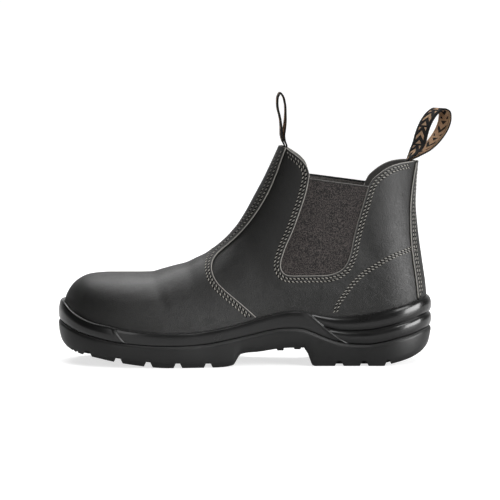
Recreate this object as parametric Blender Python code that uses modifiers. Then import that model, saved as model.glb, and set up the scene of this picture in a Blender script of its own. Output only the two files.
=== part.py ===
"""Side gore work boot for the left foot, built as an assembly of separate pieces.

The boot stands on its sole. +Z is up, the toe points along -X, and the outer side of the foot
faces -Y. The origin is on the floor, under the flat of the heel.

Every table is in millimetres and MM turns its values into metres. The shape of the last is one
function, last_grid(), and every layer of the upper is an offset of it: overlays lie on the wall,
the wall lies under them, and the elastic gores fill the gaps that are cut in the wall.
"""

import math

import bmesh
import bpy
import numpy as np

MM = 0.001

# Driving sizes of the boot.
TOE_X = -264.4
HEEL_X = 46.3
GAP = 0.3
TOE_ROUND = 72.0
TOE_FULLNESS = 2.3
HEEL_ROUND = 40.0
HEEL_FULLNESS = 2.2
FEATHER_INSET = 4.5
TOE_FRONT = -259.6

# Layers of the upper, as depths below the last surface.
OVERLAY = (0.0, 1.2)
WALL = (1.5, 3.7)
GORE = (2.0, 3.2)
LAST_SECTIONS = 34
LAST_SIDE = 9
NUDGE = 0.01

# Sole layers.
SOLE_STATIONS = 36
BOARD = 4.0
INSOLE_THICK = 4.0
INSOLE_ROOM = 1.5
INTERFACE_INSET = 3.5
GROOVE_DEPTH = 4.4
HEEL_FLAT_END = 6.0

# Pull loops.
WEB_WIDTH = 18.0
WEB_THICK = 1.4


def table(columns, rows):
    """A table with named columns, as a dictionary of arrays."""
    values = np.array(rows, float)
    return dict(zip(columns.split(), values.T))


# Outline of the tread from above: half width and the y of its centre line at each x.
OUTLINE = table("x half centre", (
    (-264.4, 52.0, 8.6),
    (-235.0, 53.5, 6.2),
    (-212.0, 55.0, 4.2),
    (-190.0, 55.5, 2.2),
    (-165.0, 53.3, -0.2),
    (-135.0, 47.5, -2.0),
    (-105.0, 41.0, -3.0),
    (-75.0, 37.6, -2.6),
    (-50.0, 37.4, -1.4),
    (-25.0, 38.0, -0.3),
    (6.0, 38.5, 0.0),
    (46.3, 38.5, 0.0),
))

# The board that the foot stands on: its height above the floor along the boot.
FLOOR = table("x z", (
    (-264.4, 35.0),
    (-258.0, 32.6),
    (-245.0, 28.0),
    (-225.0, 23.5),
    (-205.0, 21.0),
    (-180.0, 20.0),
    (-155.0, 20.5),
    (-130.0, 22.5),
    (-100.0, 25.0),
    (-70.0, 27.0),
    (-40.0, 27.8),
    (-10.0, 28.0),
    (20.0, 28.5),
    (46.3, 30.0),
))

# Line where the side of the tread meets the cushion layer above it.
TREAD_TOP = table("x z", (
    (-264.4, 35.8),
    (-259.0, 33.4),
    (-254.2, 31.0),
    (-243.7, 27.0),
    (-231.9, 24.0),
    (-216.0, 20.8),
    (-200.0, 19.0),
    (-186.0, 18.0),
    (-171.0, 17.7),
    (-154.0, 18.0),
    (-137.0, 19.5),
    (-122.0, 22.3),
    (-104.5, 25.9),
    (-90.0, 29.2),
    (-75.4, 31.2),
    (-67.0, 31.2),
    (-59.7, 30.2),
    (-51.8, 27.3),
    (-43.9, 23.9),
    (-33.5, 20.2),
    (-22.0, 17.9),
    (-8.0, 17.5),
    (6.0, 19.6),
    (18.0, 22.8),
    (30.0, 26.0),
    (38.0, 28.9),
    (46.3, 31.2),
))

# Top edge of the cushion layer, where the leather disappears behind it.
RIM_TOP = table("x z", (
    (-264.4, 51.6),
    (-259.6, 51.2),
    (-256.2, 48.4),
    (-252.6, 44.9),
    (-248.3, 42.0),
    (-236.4, 36.8),
    (-221.4, 33.8),
    (-207.0, 30.9),
    (-194.0, 29.6),
    (-176.0, 28.4),
    (-157.0, 28.3),
    (-142.7, 29.6),
    (-125.5, 32.6),
    (-111.6, 35.8),
    (-96.3, 40.2),
    (-85.8, 43.0),
    (-75.4, 45.0),
    (-64.9, 45.5),
    (-56.5, 44.6),
    (-44.0, 41.9),
    (-31.0, 40.3),
    (-20.2, 41.0),
    (-10.2, 42.3),
    (0.7, 44.2),
    (16.3, 48.0),
    (28.3, 51.5),
    (36.0, 54.0),
    (40.5, 55.0),
    (46.3, 55.2),
))

# Underside of the tread: toe spring, flat forefoot, arch, and the heel with its rolled back edge.
TREAD_BOTTOM = table("x z", (
    (-264.4, 22.6),
    (-261.0, 18.4),
    (-257.0, 14.8),
    (-251.0, 11.6),
    (-242.0, 9.1),
    (-232.0, 7.5),
    (-215.0, 4.5),
    (-198.0, 2.2),
    (-183.0, 0.6),
    (-172.0, 0.0),
    (-136.0, 0.0),
    (-118.6, 1.6),
    (-112.0, 10.6),
    (-96.3, 12.4),
    (-84.0, 14.2),
    (-70.0, 15.3),
    (-60.0, 15.3),
    (-52.0, 0.0),
    (4.5, 0.0),
    (10.5, 1.5),
    (16.7, 3.0),
    (25.0, 5.4),
    (33.0, 8.6),
    (39.0, 12.4),
    (43.5, 17.0),
    (46.3, 22.0),
))

# Stations of the cushion layer lean: x at its foot and x at its rim. Two of them follow the sloping
# end of the toe bumper and the long ridge in front of the heel ribs.
LEAN = table("foot rim", (
    (-264.4, -264.4),
    (-235.0, -238.0),
    (-206.0, -217.0),
    (-150.0, -153.0),
    (-110.0, -120.0),
    (-60.0, -84.0),
    (-19.3, -55.5),
    (6.0, -12.0),
    (30.0, 26.0),
    (46.3, 46.3),
))
LEAN_CURVE = 0.65
BUMPER_END = -206.0
RIDGE_FOOT = -19.3

# Side of the cushion layer, from foot to rim: how far each height lies inside the outline.
SIDE = table("height bumper band ribs", (
    (0.00, 1.9, 2.4, 1.9),
    (0.07, 0.9, 1.9, 0.7),
    (0.22, 0.5, 1.6, 0.0),
    (0.38, 0.4, 1.5, 0.7),
    (0.46, 0.4, 1.5, 2.1),
    (0.54, 0.5, 1.5, 0.7),
    (0.72, 0.9, 1.6, 0.1),
    (0.89, 1.6, 1.9, 0.8),
    (1.00, 2.9, 2.8, 2.4),
))
RIB_RECESS = 1.3
RECESS_REACH = 42.0

# Side of the tread: inset from the outline and height, from its top edge or its underside.
TREAD_SIDE = table("inset below_top above_bottom", (
    (2.4, 0.0, -1.0),
    (0.7, 1.7, -1.0),
    (0.3, 3.4, -1.0),
    (1.2, -1.0, 3.2),
    (3.0, -1.0, 0.0),
))

# The last, a row for each section from the toe to the collar. A section runs from its base, on the
# board and later up the back seam (rise), to the crest over toe, instep and shin. Half widths are
# taken at the base, the middle and the crest. The crest is rounded over the radius given.
LAST = table("base_x rise crest_x crest_z low mid high radius fullness back", (
    (-258.2, 0, -258.2, 33.3, 47.5, 48.5, 48.5, 42, 2.4, 0.0),
    (-257.6, 0, -259.3, 42.0, 47.6, 48.5, 48.5, 42, 2.4, 0.0),
    (-256.0, 0, -258.8, 51.0, 47.7, 48.5, 48.5, 42, 2.4, 0.0),
    (-252.8, 0, -256.0, 58.5, 48.0, 48.7, 48.7, 42, 2.4, 0.0),
    (-247.5, 0, -250.3, 66.0, 48.4, 49.0, 49.0, 42, 2.4, 0.0),
    (-239.5, 0, -241.0, 71.6, 48.9, 49.3, 49.3, 42, 2.4, 0.0),
    (-228.0, 0, -228.5, 73.7, 49.5, 49.8, 49.6, 43, 2.4, 0.0),
    (-212.0, 0, -212.0, 74.2, 50.5, 50.6, 50.0, 45, 2.35, 0.0),
    (-194.0, 0, -193.5, 74.5, 51.0, 50.8, 49.5, 48, 2.25, 0.0),
    (-176.0, 0, -175.4, 77.8, 50.1, 49.6, 47.5, 53, 2.1, 0.0),
    (-157.0, 0, -156.2, 83.7, 47.4, 46.6, 44.0, 60, 2.0, 0.0),
    (-134.0, 0, -138.5, 92.6, 42.9, 42.4, 40.0, 66, 2.0, 0.0),
    (-104.0, 0, -125.0, 103.3, 36.4, 38.2, 36.5, 70, 2.0, 0.0),
    (-66.0, 0, -115.6, 114.1, 33.0, 36.0, 35.0, 72, 2.0, 0.1),
    (-26.0, 0, -109.3, 123.6, 33.5, 35.8, 34.5, 72, 2.0, 0.3),
    (10.0, 0, -105.3, 130.5, 34.0, 36.0, 34.5, 70, 2.0, 0.6),
    (30.0, 0, -102.8, 135.3, 34.0, 36.0, 34.8, 68, 2.0, 0.8),
    (39.5, 0, -101.0, 138.7, 34.0, 36.0, 35.0, 66, 2.0, 0.9),
    (41.8, 0, -100.0, 140.5, 34.0, 35.9, 35.0, 65, 2.0, 1.0),
    (42.6, 16, -98.3, 143.6, 34.6, 35.8, 35.0, 63, 2.0, 1.0),
    (41.6, 34, -95.5, 148.8, 34.8, 35.6, 35.0, 60, 2.0, 1.0),
    (38.4, 56, -92.3, 155.0, 34.6, 35.6, 35.2, 57, 2.05, 1.0),
    (35.1, 80, -89.3, 161.3, 35.0, 36.2, 35.8, 54, 2.1, 1.0),
    (33.1, 104, -86.6, 167.1, 35.8, 37.0, 36.6, 52, 2.1, 1.0),
    (34.0, 127, -83.3, 174.3, 36.6, 38.0, 37.4, 50, 2.1, 1.0),
    (36.2, 145, -78.0, 186.5, 37.2, 38.8, 38.2, 48, 2.1, 1.0),
))
BACK_ROW = 18

# How far the back of the heel and shaft is rounded, by height.
BACK_ROUND = table("z radius", (
    (28.0, 36.0),
    (60.0, 38.0),
    (100.0, 41.0),
    (140.0, 45.0),
    (178.0, 47.0),
))

# Lines seen from the side, the same on both sides of the boot.
COLLAR_FRONT = ((-90.0, 180.0), (-81.3, 180.3), (-79.3, 180.3), (-75.0, 179.0), (-72.5, 177.2),
                (-66.6, 173.2), (-61.5, 168.9), (-57.9, 164.1), (-56.4, 159.8), (-55.7, 156.0))
COLLAR_BACK = ((-6.9, 149.3), (-5.2, 152.6), (0.0, 157.6), (5.8, 161.8), (12.4, 165.0),
               (20.4, 166.9), (26.3, 167.5), (36.0, 167.8), (44.0, 167.8))
GORE_FRONT = ((-55.7, 157.0), (-56.7, 151.0), (-58.6, 142.3), (-61.5, 132.8), (-65.9, 120.3),
              (-70.3, 108.7), (-74.7, 99.0), (-77.5, 91.1), (-79.0, 85.5), (-78.9, 80.6),
              (-77.0, 77.0), (-73.8, 75.2), (-69.5, 74.7))
GORE_BACK = ((-45.2, 74.9), (-38.5, 75.6), (-32.6, 77.6), (-28.2, 80.6), (-25.0, 85.0),
             (-22.6, 91.2), (-19.7, 104.8), (-16.1, 119.5), (-12.5, 131.2), (-9.2, 142.5),
             (-6.9, 150.3))
VAMP_EDGE = ((-73.0, 184.0), (-75.0, 179.0), (-79.2, 167.8), (-82.8, 157.6), (-88.1, 144.8),
             (-94.7, 132.6), (-101.5, 122.2), (-109.6, 111.9), (-118.6, 102.7), (-127.4, 95.2),
             (-132.8, 90.0), (-135.5, 85.3), (-136.0, 80.5), (-134.9, 75.5), (-131.8, 69.9),
             (-125.8, 63.7), (-119.0, 58.0), (-108.6, 49.2), (-98.3, 39.7), (-92.0, 33.5))
STAY_EDGE = ((34.0, 172.0), (32.6, 163.9), (30.6, 153.2), (28.9, 141.6), (28.0, 130.8),
             (27.8, 118.4), (28.5, 101.7), (30.6, 83.5), (32.8, 68.5), (34.6, 52.0))

# Grooves between the lugs, seen from the side: middle x, width at the mouth and at the root.
SIDE_GROOVES = table("x mouth root", (
    (-238.4, 7.6, 3.0),
    (-212.5, 7.2, 3.2),
    (-187.7, 7.2, 3.2),
    (-163.4, 7.2, 3.2),
    (-138.6, 7.2, 3.2),
    (-31.1, 7.6, 2.6),
    (-10.6, 7.4, 3.2),
    (9.2, 5.0, 1.8),
))
CENTRE_GROOVES = (-225.0, -200.0, -175.5, -151.0, -31.1, -10.6)
GROOVE_REACH = 19.0
CHANNEL_WIDTH = 3.6
CHANNEL_ROOT = 1.8
FORE_CHANNEL = (-236.0, -121.0)
HEEL_CHANNEL = (-49.5, 13.0)
ARCH_BARS = ((-79.5, 2.6), (-65.4, 2.2))

# Centre lines of the pull loops seen from the side, with the turn of the web in degrees.
FRONT_LOOP = table("x z turn", (
    (-83.2, 164.0, 0.0),
    (-79.6, 172.0, 0.0),
    (-76.1, 180.0, 0.0),
    (-77.7, 183.6, 2.0),
    (-78.7, 188.5, 4.0),
    (-78.8, 193.5, 4.0),
    (-79.1, 198.0, 3.0),
    (-80.0, 204.0, 2.5),
    (-81.6, 210.5, 2.5),
    (-82.0, 216.0, 2.5),
    (-81.5, 220.4, 2.5),
    (-79.6, 223.4, 2.5),
    (-77.4, 220.8, 2.0),
    (-75.7, 215.0, 1.5),
    (-75.2, 206.0, 2.0),
    (-75.5, 199.0, 4.0),
    (-76.2, 193.0, 5.0),
    (-76.7, 188.5, 4.5),
    (-75.7, 183.6, 2.0),
    (-74.2, 180.0, 0.0),
    (-77.7, 172.0, 0.0),
    (-81.3, 164.0, 0.0),
))
REAR_LOOP = table("x z turn", (
    (25.5, 152.0, 0.0),
    (25.9, 160.0, 0.0),
    (26.8, 168.8, 1.0),
    (29.5, 172.2, 12.0),
    (33.0, 176.4, 28.0),
    (35.6, 181.4, 33.0),
    (37.3, 188.0, 32.0),
    (39.6, 195.2, 30.0),
    (42.8, 201.6, 29.0),
    (47.2, 207.2, 28.0),
    (52.4, 210.2, 28.0),
    (56.2, 208.2, 29.0),
    (57.0, 202.4, 31.0),
    (55.2, 195.2, 32.0),
    (51.4, 188.2, 31.0),
    (46.2, 181.6, 30.0),
    (40.2, 176.2, 28.0),
    (32.5, 171.0, 12.0),
    (28.8, 168.4, 1.0),
    (27.8, 160.0, 0.0),
    (27.3, 152.0, 0.0),
))
LOOP_POCKET = ((-96.0, 163.4), (-70.0, 163.4), (-70.0, 190.0), (-96.0, 190.0))

# Colour, roughness and metallic value of each material.
FINISHES = {
    "leather": ((0.030, 0.029, 0.027, 1.0), 0.55, 0.0),
    "elastic": ((0.034, 0.031, 0.032, 1.0), 0.90, 0.0),
    "webbing": ((0.020, 0.018, 0.018, 1.0), 0.80, 0.0),
    "cushion_rubber": ((0.018, 0.018, 0.019, 1.0), 0.38, 0.0),
    "tread_rubber": ((0.022, 0.021, 0.022, 1.0), 0.55, 0.0),
    "insole_cloth": ((0.040, 0.040, 0.042, 1.0), 0.90, 0.0),
}


def smooth(keys, values, at):
    """A smooth curve through a table's values that never swings past them between two rows."""
    at = np.clip(np.asarray(at, float), keys[0], keys[-1])
    step = np.diff(keys)
    rate = np.diff(values) / step
    slope = np.gradient(values, keys)
    turning = np.zeros(len(keys), bool)
    turning[1:-1] = rate[:-1] * rate[1:] <= 0
    slope[turning] = 0
    limit = 3 * np.minimum(np.abs(np.append(rate[0], rate)), np.abs(np.append(rate, rate[-1])))
    slope = np.clip(slope, -limit, limit)
    i = np.clip(np.searchsorted(keys, at, side="right") - 1, 0, len(keys) - 2)
    t = (at - keys[i]) / step[i]
    rise = t * t * (3 - 2 * t)
    start = values[i] + (values[i + 1] - values[i]) * rise
    return start + step[i] * (t * (1 - t) ** 2 * slope[i] - t * t * (1 - t) * slope[i + 1])


def height(line, x):
    """Height in millimetres of a line of the sole at x."""
    return smooth(line["x"], line["z"], x)


def path(points, spacing):
    """A smooth polyline through a few points seen from the side."""
    points = np.array(points, float)
    run = np.append(0, np.cumsum(np.hypot(*np.diff(points, axis=0).T)))
    at = np.linspace(0, run[-1], max(2, round(run[-1] / spacing)) + 1)
    slopes = np.gradient(points, run, axis=0)
    i = np.clip(np.searchsorted(run, at, side="right") - 1, 0, len(run) - 2)
    step = (run[i + 1] - run[i])[:, None]
    t = (at - run[i])[:, None] / step
    rise = t * t * (3 - 2 * t)
    bend = t * (1 - t) ** 2 * slopes[i] - t * t * (1 - t) * slopes[i + 1]
    return points[i] + (points[i + 1] - points[i]) * rise + step * bend


def cap(distance, radius, fullness):
    """How far a rounded end has opened: 0 at its tip, and 1 from one radius on."""
    inside = 1 - np.clip(distance / radius, 0, 1)
    return (1 - inside ** fullness) ** (1 / fullness)


def outline(x, inset):
    """Centre line y and half width of the sole at x, with its edge moved in by inset."""
    half = smooth(OUTLINE["x"], OUTLINE["half"], x) - inset
    half = half * cap(x - TOE_X - inset, TOE_ROUND - inset, TOE_FULLNESS)
    half = half * cap(HEEL_X - inset - x, HEEL_ROUND - inset, HEEL_FULLNESS)
    return smooth(OUTLINE["x"], OUTLINE["centre"], x), half


def squeeze(x, inset):
    """x moved so that the sole's whole length fits inside an outline that is inset."""
    middle = (TOE_X + HEEL_X) / 2
    return middle + (x - middle) * (1 - 2 * inset / (HEEL_X - TOE_X))


def stations(extra):
    """Places along the sole, close together at toe and heel, with some places added."""
    turn = np.linspace(0, math.pi, SOLE_STATIONS)
    even = (TOE_X + HEEL_X) / 2 + (HEEL_X - TOE_X) / 2 * np.cos(turn)
    keep = [x for x in even[1:-1] if min(abs(x - e) for e in extra) > 2.2]
    return np.array(sorted([TOE_X, *keep, *extra, HEEL_X], reverse=True))


def ring(x, inset, rise):
    """A loop of points round the sole: heel to toe on the outer side, and back on the inner.

    rise gives the height at each x."""
    x = squeeze(x, inset)
    z = rise(x)
    centre, half = outline(x, inset)
    outer = np.stack([x, centre - half, z], axis=1)
    inner = np.stack([x, centre + half, z], axis=1)
    outer[0, 1] = inner[0, 1] = centre[0]
    outer[-1, 1] = inner[-1, 1] = centre[-1]
    return np.concatenate([outer, inner[-2:0:-1]])


def new_object(name, mesh, finish, collection):
    """Links a mesh as an object with the material it is made of."""
    thing = bpy.data.objects.new(name, mesh)
    collection.objects.link(thing)
    material = bpy.data.materials.get(finish)
    if material is None:
        material = bpy.data.materials.new(finish)
        material.use_nodes = True
        colour, roughness, metallic = FINISHES[finish]
        shader = material.node_tree.nodes["Principled BSDF"]
        shader.inputs["Base Color"].default_value = colour
        shader.inputs["Roughness"].default_value = roughness
        shader.inputs["Metallic"].default_value = metallic
        material.diffuse_color = colour
    mesh.materials.append(material)
    mesh.shade_smooth()
    mesh.set_sharp_from_angle(angle=math.radians(35))
    return thing


def closed_mesh(name, points, faces):
    """A mesh in metres whose coincident points are joined and whose faces point out."""
    shape = bmesh.new()
    verts = [shape.verts.new(p) for p in np.asarray(points) * MM]
    for face in faces:
        shape.faces.new([verts[i] for i in face])
    bmesh.ops.remove_doubles(shape, verts=shape.verts, dist=1e-6)
    bmesh.ops.dissolve_degenerate(shape, dist=1e-7, edges=shape.edges)
    bmesh.ops.recalc_face_normals(shape, faces=shape.faces)
    mesh = bpy.data.meshes.new(name)
    shape.to_mesh(mesh)
    shape.free()
    return mesh


def loft(name, rings):
    """A solid through rings of equal count, closed at both ends by rungs from side to side."""
    count = len(rings[0])
    points = np.concatenate(rings)
    faces = []
    for r in range(len(rings) - 1):
        for i in range(count):
            j = (i + 1) % count
            a, b = r * count, (r + 1) * count
            faces.append((a + i, a + j, b + j, b + i))
    for base in (0, (len(rings) - 1) * count):
        for i in range(count // 2):
            across = [i, i + 1, (count - i - 1) % count, (count - i) % count]
            corners = list(dict.fromkeys(base + k for k in across))
            faces.append(corners)
    return closed_mesh(name, points, faces)


def last_points(section, girth):
    """Points of the last surface: [section, girth]. Girth runs from -1, the outer base, over 0, the
    crest, to 1, the inner base."""
    rows = np.arange(len(LAST["base_x"]), dtype=float)
    row = {name: smooth(rows, values, section)[:, None] for name, values in LAST.items()}
    share = 1 - np.abs(girth)[None, :]
    to_crest = np.sin(share * math.pi / 2)
    to_both = (1 - np.cos(share * math.pi)) / 2
    v = to_crest + (to_both - to_crest) * row["back"]
    base_z = height(FLOOR, row["base_x"]) + GAP + row["rise"]
    x = row["base_x"] + (row["crest_x"] - row["base_x"]) * v
    z = base_z + (row["crest_z"] - base_z) * v
    half = (row["low"] * (1 - v) * (1 - 2 * v) + 4 * row["mid"] * v * (1 - v)
            + row["high"] * v * (2 * v - 1))
    length = np.hypot(row["crest_x"] - row["base_x"], row["crest_z"] - base_z)
    half = half * cap((1 - v) * length, row["radius"], row["fullness"])
    half = half * cap(x - TOE_FRONT, TOE_ROUND - FEATHER_INSET, TOE_FULLNESS)
    seam = rows >= BACK_ROW
    seam_z = height(FLOOR, LAST["base_x"][seam]) + GAP + LAST["rise"][seam]
    back_x = smooth(seam_z, LAST["base_x"][seam], z)
    half = half * cap(back_x - x, smooth(BACK_ROUND["z"], BACK_ROUND["radius"], z), HEEL_FULLNESS)
    half = np.where((section[:, None] >= BACK_ROW) & (share == 0), 0, half)
    half = np.where(section[:, None] == 0, 0, half)
    z = np.where(section[:, None] == 0, base_z, z)
    centre = smooth(OUTLINE["x"], OUTLINE["centre"], x)
    return np.stack([x, centre + np.sign(girth) * half, z], axis=2)


def last_grid(depth):
    """Points of the last surface moved in by depth, and the first section of the back seam."""
    section = np.linspace(0, len(LAST["base_x"]) - 1, LAST_SECTIONS)
    section[np.abs(section - BACK_ROW).argmin()] = BACK_ROW
    seam = int(np.argmax(section >= BACK_ROW))
    girth = np.linspace(-1, 1, 2 * LAST_SIDE + 1)
    near = np.clip(girth - NUDGE, -1, 1), np.clip(girth + NUDGE, -1, 1)
    before = np.clip(section - NUDGE, 0.01, section[-1])
    after = np.clip(section + NUDGE, 0.02, section[-1])
    across = last_points(section, near[1]) - last_points(section, near[0])
    along = last_points(after, girth) - last_points(before, girth)
    normal = np.cross(along, across)
    normal[0] = (-1, 0, 0)
    for edge in (0, -1):
        normal[:seam, edge, 2] = 0
        up = along[seam:, edge]
        normal[seam:, edge] = np.stack([up[:, 2], 0 * up[:, 0], -up[:, 0]], axis=1)
        normal[seam, edge] = (1, 0, 0)
    normal /= np.linalg.norm(normal, axis=2, keepdims=True)
    return last_points(section, girth) - normal * depth, seam


def skin_faces(sections, girth):
    """Triangles of the last surface, split the same way in every layer and alike on both sides."""
    faces = []
    for i in range(sections - 1):
        for j in range(girth - 1):
            a, b = i * girth + j, i * girth + j + 1
            if j < girth // 2:
                faces += [(a, a + girth, b + girth), (a, b + girth, b)]
            else:
                faces += [(a, a + girth, b), (b, a + girth, b + girth)]
    return faces


def layer(name, depths):
    """A closed shell between two depths below the last surface, open at the foot and the top."""
    (outside, seam), (inside, _) = (last_grid(depth) for depth in depths)
    sections, girth = outside.shape[:2]
    points = np.concatenate([outside.reshape(-1, 3), inside.reshape(-1, 3)])
    shift = sections * girth
    skin = skin_faces(sections, girth)
    foot = [(i * girth + j, (i + 1) * girth + j) for j in (0, girth - 1) for i in range(seam)]
    top = [(i, i + 1) for i in range(shift - girth, shift - 1)]
    faces = skin + [tuple(shift + i for i in reversed(face)) for face in skin]
    faces += [(a, b, shift + b, shift + a) for a, b in foot + top]
    return closed_mesh(name, points, faces)


def foot_room(name, depth):
    """The last as a solid, smaller by depth and let down into the board by the usual gap."""
    grid, seam = last_grid(depth)
    grid[:seam + 1, (0, -1), 2] -= GAP
    grid[0, 1:-1, 2] -= GAP
    sections, girth = grid.shape[:2]
    faces = skin_faces(sections, girth)
    for i in range(seam):
        near, far = i * girth, i * girth + girth - 1
        faces.append((near, near + girth, far + girth, far))
    last = (sections - 1) * girth
    for j in range(girth // 2):
        rung = (last + j, last + j + 1, last + girth - 2 - j, last + girth - 1 - j)
        faces.append(tuple(dict.fromkeys(rung)))
    return closed_mesh(name, grid.reshape(-1, 3), faces)


def plate(name, points, near, far):
    """A flat outline seen from the side, as a solid from y near to y far."""
    curve = bpy.data.curves.new(name, "CURVE")
    curve.dimensions = "2D"
    curve.fill_mode = "BOTH"
    curve.extrude = (far - near) / 2 * MM
    spline = curve.splines.new("POLY")
    spline.points.add(len(points) - 1)
    for point, (x, z) in zip(spline.points, points):
        point.co = (x * MM, z * MM, 0, 1)
    spline.use_cyclic_u = True
    flat = bpy.data.objects.new(name + "_outline", curve)
    bpy.context.scene.collection.objects.link(flat)
    flat.rotation_euler.x = math.pi / 2
    flat.location.y = (near + far) / 2 * MM
    bpy.context.view_layer.update()
    mesh = bpy.data.meshes.new_from_object(flat.evaluated_get(bpy.context.evaluated_depsgraph_get()))
    mesh.transform(flat.matrix_world)
    bpy.data.objects.remove(flat)
    bpy.data.curves.remove(curve)
    shape = bmesh.new()
    shape.from_mesh(mesh)
    bmesh.ops.remove_doubles(shape, verts=shape.verts, dist=1e-6)
    bmesh.ops.recalc_face_normals(shape, faces=shape.faces)
    shape.to_mesh(mesh)
    shape.free()
    return mesh


def helper(name, mesh, cutters):
    """An object that only cuts others: it isn't part of the boot."""
    thing = bpy.data.objects.new(name, mesh)
    cutters.objects.link(thing)
    thing.hide_render = True
    thing.display_type = "WIRE"
    return thing


def combine(thing, other, operation):
    """Cuts, joins or intersects thing with another object."""
    modifier = thing.modifiers.new(f"{operation.lower()}_{other.name}", "BOOLEAN")
    modifier.operation = operation
    modifier.object = other
    modifier.solver = "EXACT"


def collar_line():
    """The top edge of the boot from the front to the back, with the straight top of the gore."""
    return np.concatenate([path(COLLAR_FRONT, 4.0), path(COLLAR_BACK, 4.0)])


def above_collar(cutters):
    """Everything above the collar."""
    line = collar_line()
    points = [*line, (60.0, 167.8), (60.0, 240.0), (-120.0, 240.0), (-120.0, 180.0)]
    return helper("above_collar", plate("above_collar", points, -80, 80), cutters)


def gore_outline(shrink):
    """The gore seen from the side, moved in by shrink, from its top front round to its top back."""
    edge = np.concatenate([path(GORE_FRONT, 5.0), path(GORE_BACK, 5.0)])
    tangent = np.gradient(edge, axis=0)
    tangent /= np.linalg.norm(tangent, axis=1, keepdims=True)
    inward = np.stack([-tangent[:, 1], tangent[:, 0]], axis=1)
    edge = edge + inward * shrink
    up_front = edge[0] + (0.0, 12.0)
    up_back = edge[-1] + (0.0, 12.0)
    return [up_front, *edge, up_back]


def make_upper(boot, cutters):
    """The leather wall: one hollow solid, open at the collar, the foot and the two gores."""
    upper = new_object("upper", layer("upper", WALL), "leather", boot)
    combine(upper, above_collar(cutters), "DIFFERENCE")
    window = helper("gore_window", plate("gore_window", gore_outline(0.0), -80, 80), cutters)
    combine(upper, window, "DIFFERENCE")
    middle = float(smooth(OUTLINE["x"], OUTLINE["centre"], FRONT_LOOP["x"][0]))
    reach = WEB_WIDTH / 2 + GAP
    pocket = plate("loop_pocket", LOOP_POCKET, middle - reach, middle + reach)
    combine(upper, helper("loop_pocket", pocket, cutters), "DIFFERENCE")


def make_gores(boot, cutters):
    """The two elastic panels in the sides of the shaft."""
    for name, near, far in (("gore_outer", -80, -5), ("gore_inner", 5, 80)):
        gore = new_object(name, layer(name, GORE), "elastic", boot)
        window = plate(name + "_window", gore_outline(GAP), near, far)
        combine(gore, helper(name + "_window", window, cutters), "INTERSECT")
        combine(gore, bpy.data.objects["above_collar"], "DIFFERENCE")


def above_rim(first, last):
    """Points just above the rim of the cushion layer, from x first to x last."""
    rim = cushion_ring(len(SIDE["height"]) - 1)
    x = rim[:len(rim) // 2 + 1, 0]
    between = sorted({first, last, *x[(x > min(first, last)) & (x < max(first, last))]})
    order = between if first < last else between[::-1]
    return [(a, float(np.interp(a, x[::-1], rim[len(x) - 1::-1, 2])) + GAP) for a in order]


def make_overlays(boot, cutters):
    """The leather pieces that lie on the wall: the vamp with its long shin strip, and the back stay."""
    edge = path(VAMP_EDGE, 5.0)
    edge = edge[edge[:, 1] > height(RIM_TOP, edge[:, 0]) + GAP + 1]
    around = [*edge, *above_rim(edge[-1, 0] - 1.0, TOE_X), (-290.0, 58.0), (-290.0, 240.0), (-70.0, 240.0)]
    vamp = new_object("vamp", layer("vamp", OVERLAY), "leather", boot)
    combine(vamp, helper("vamp_pattern", plate("vamp_pattern", around, -90, 90), cutters), "INTERSECT")
    combine(vamp, bpy.data.objects["above_collar"], "DIFFERENCE")
    edge = path(STAY_EDGE, 8.0)
    around = [*edge[:-1], *above_rim(edge[-1, 0], HEEL_X), (60.0, 60.0), (60.0, 172.0)]
    stay = new_object("back_stay", layer("back_stay", OVERLAY), "leather", boot)
    combine(stay, helper("stay_pattern", plate("stay_pattern", around, -40, 40), cutters), "INTERSECT")
    combine(stay, bpy.data.objects["above_collar"], "DIFFERENCE")


def sole_places():
    """Stations that both layers of the sole share."""
    return stations((-206.0, -204.0, -118.6, -112.0, -60.0, -52.0, -21.3, -19.3, HEEL_FLAT_END))


def interface(x):
    """Height of the joint between tread and cushion away from the edge."""
    return np.minimum(height(TREAD_TOP, x), height(FLOOR, x) - BOARD)


def cushion_ring(k):
    """The loop round the side of the cushion layer at row k of its table."""
    share = SIDE["height"][k]
    foot = sole_places()
    rim = smooth(LEAN["foot"], LEAN["rim"], foot)
    recess = RIB_RECESS * np.clip(1 - (foot - RIDGE_FOOT) / RECESS_REACH, 0, 1)
    inset = np.where(foot <= BUMPER_END, SIDE["bumper"][k], SIDE["band"][k])
    inset = np.where(foot >= RIDGE_FOOT, SIDE["ribs"][k] + recess, inset)

    def rise(x):
        return (height(TREAD_TOP, x) + GAP) * (1 - share) + height(RIM_TOP, x) * share

    return ring(foot + (rim - foot) * share ** LEAN_CURVE, inset, rise)


def make_midsole(boot, cutters):
    """The cushion layer: a cup round the foot, with a toe bumper, a waist ridge and heel ribs."""
    foot = sole_places()
    rings = [ring(foot, INTERFACE_INSET + 0.6, lambda x: interface(x) + GAP)]
    rings.append(ring(foot, TREAD_SIDE["inset"][0] + 0.4, lambda x: height(TREAD_TOP, x) + GAP))
    rings += [cushion_ring(k) for k in range(len(SIDE["height"]))]
    midsole = new_object("midsole", loft("midsole", rings), "cushion_rubber", boot)
    room = helper("foot_room", foot_room("foot_room", WALL[0] - GAP), cutters)
    combine(midsole, room, "DIFFERENCE")


def groove(name, x, mouth, root, near, far, cutters):
    """A trapezoid groove across the tread, from y near to y far, following the underside."""
    bottom = float(height(TREAD_BOTTOM, x))
    drop = 9.0
    widen = (mouth - root) / 2 / GROOVE_DEPTH
    half_low = mouth / 2 + widen * drop
    points = ((x - half_low, bottom - drop), (x + half_low, bottom - drop),
              (x + root / 2, bottom + GROOVE_DEPTH), (x - root / 2, bottom + GROOVE_DEPTH))
    return helper(name, plate(name, points, near, far), cutters)


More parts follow.
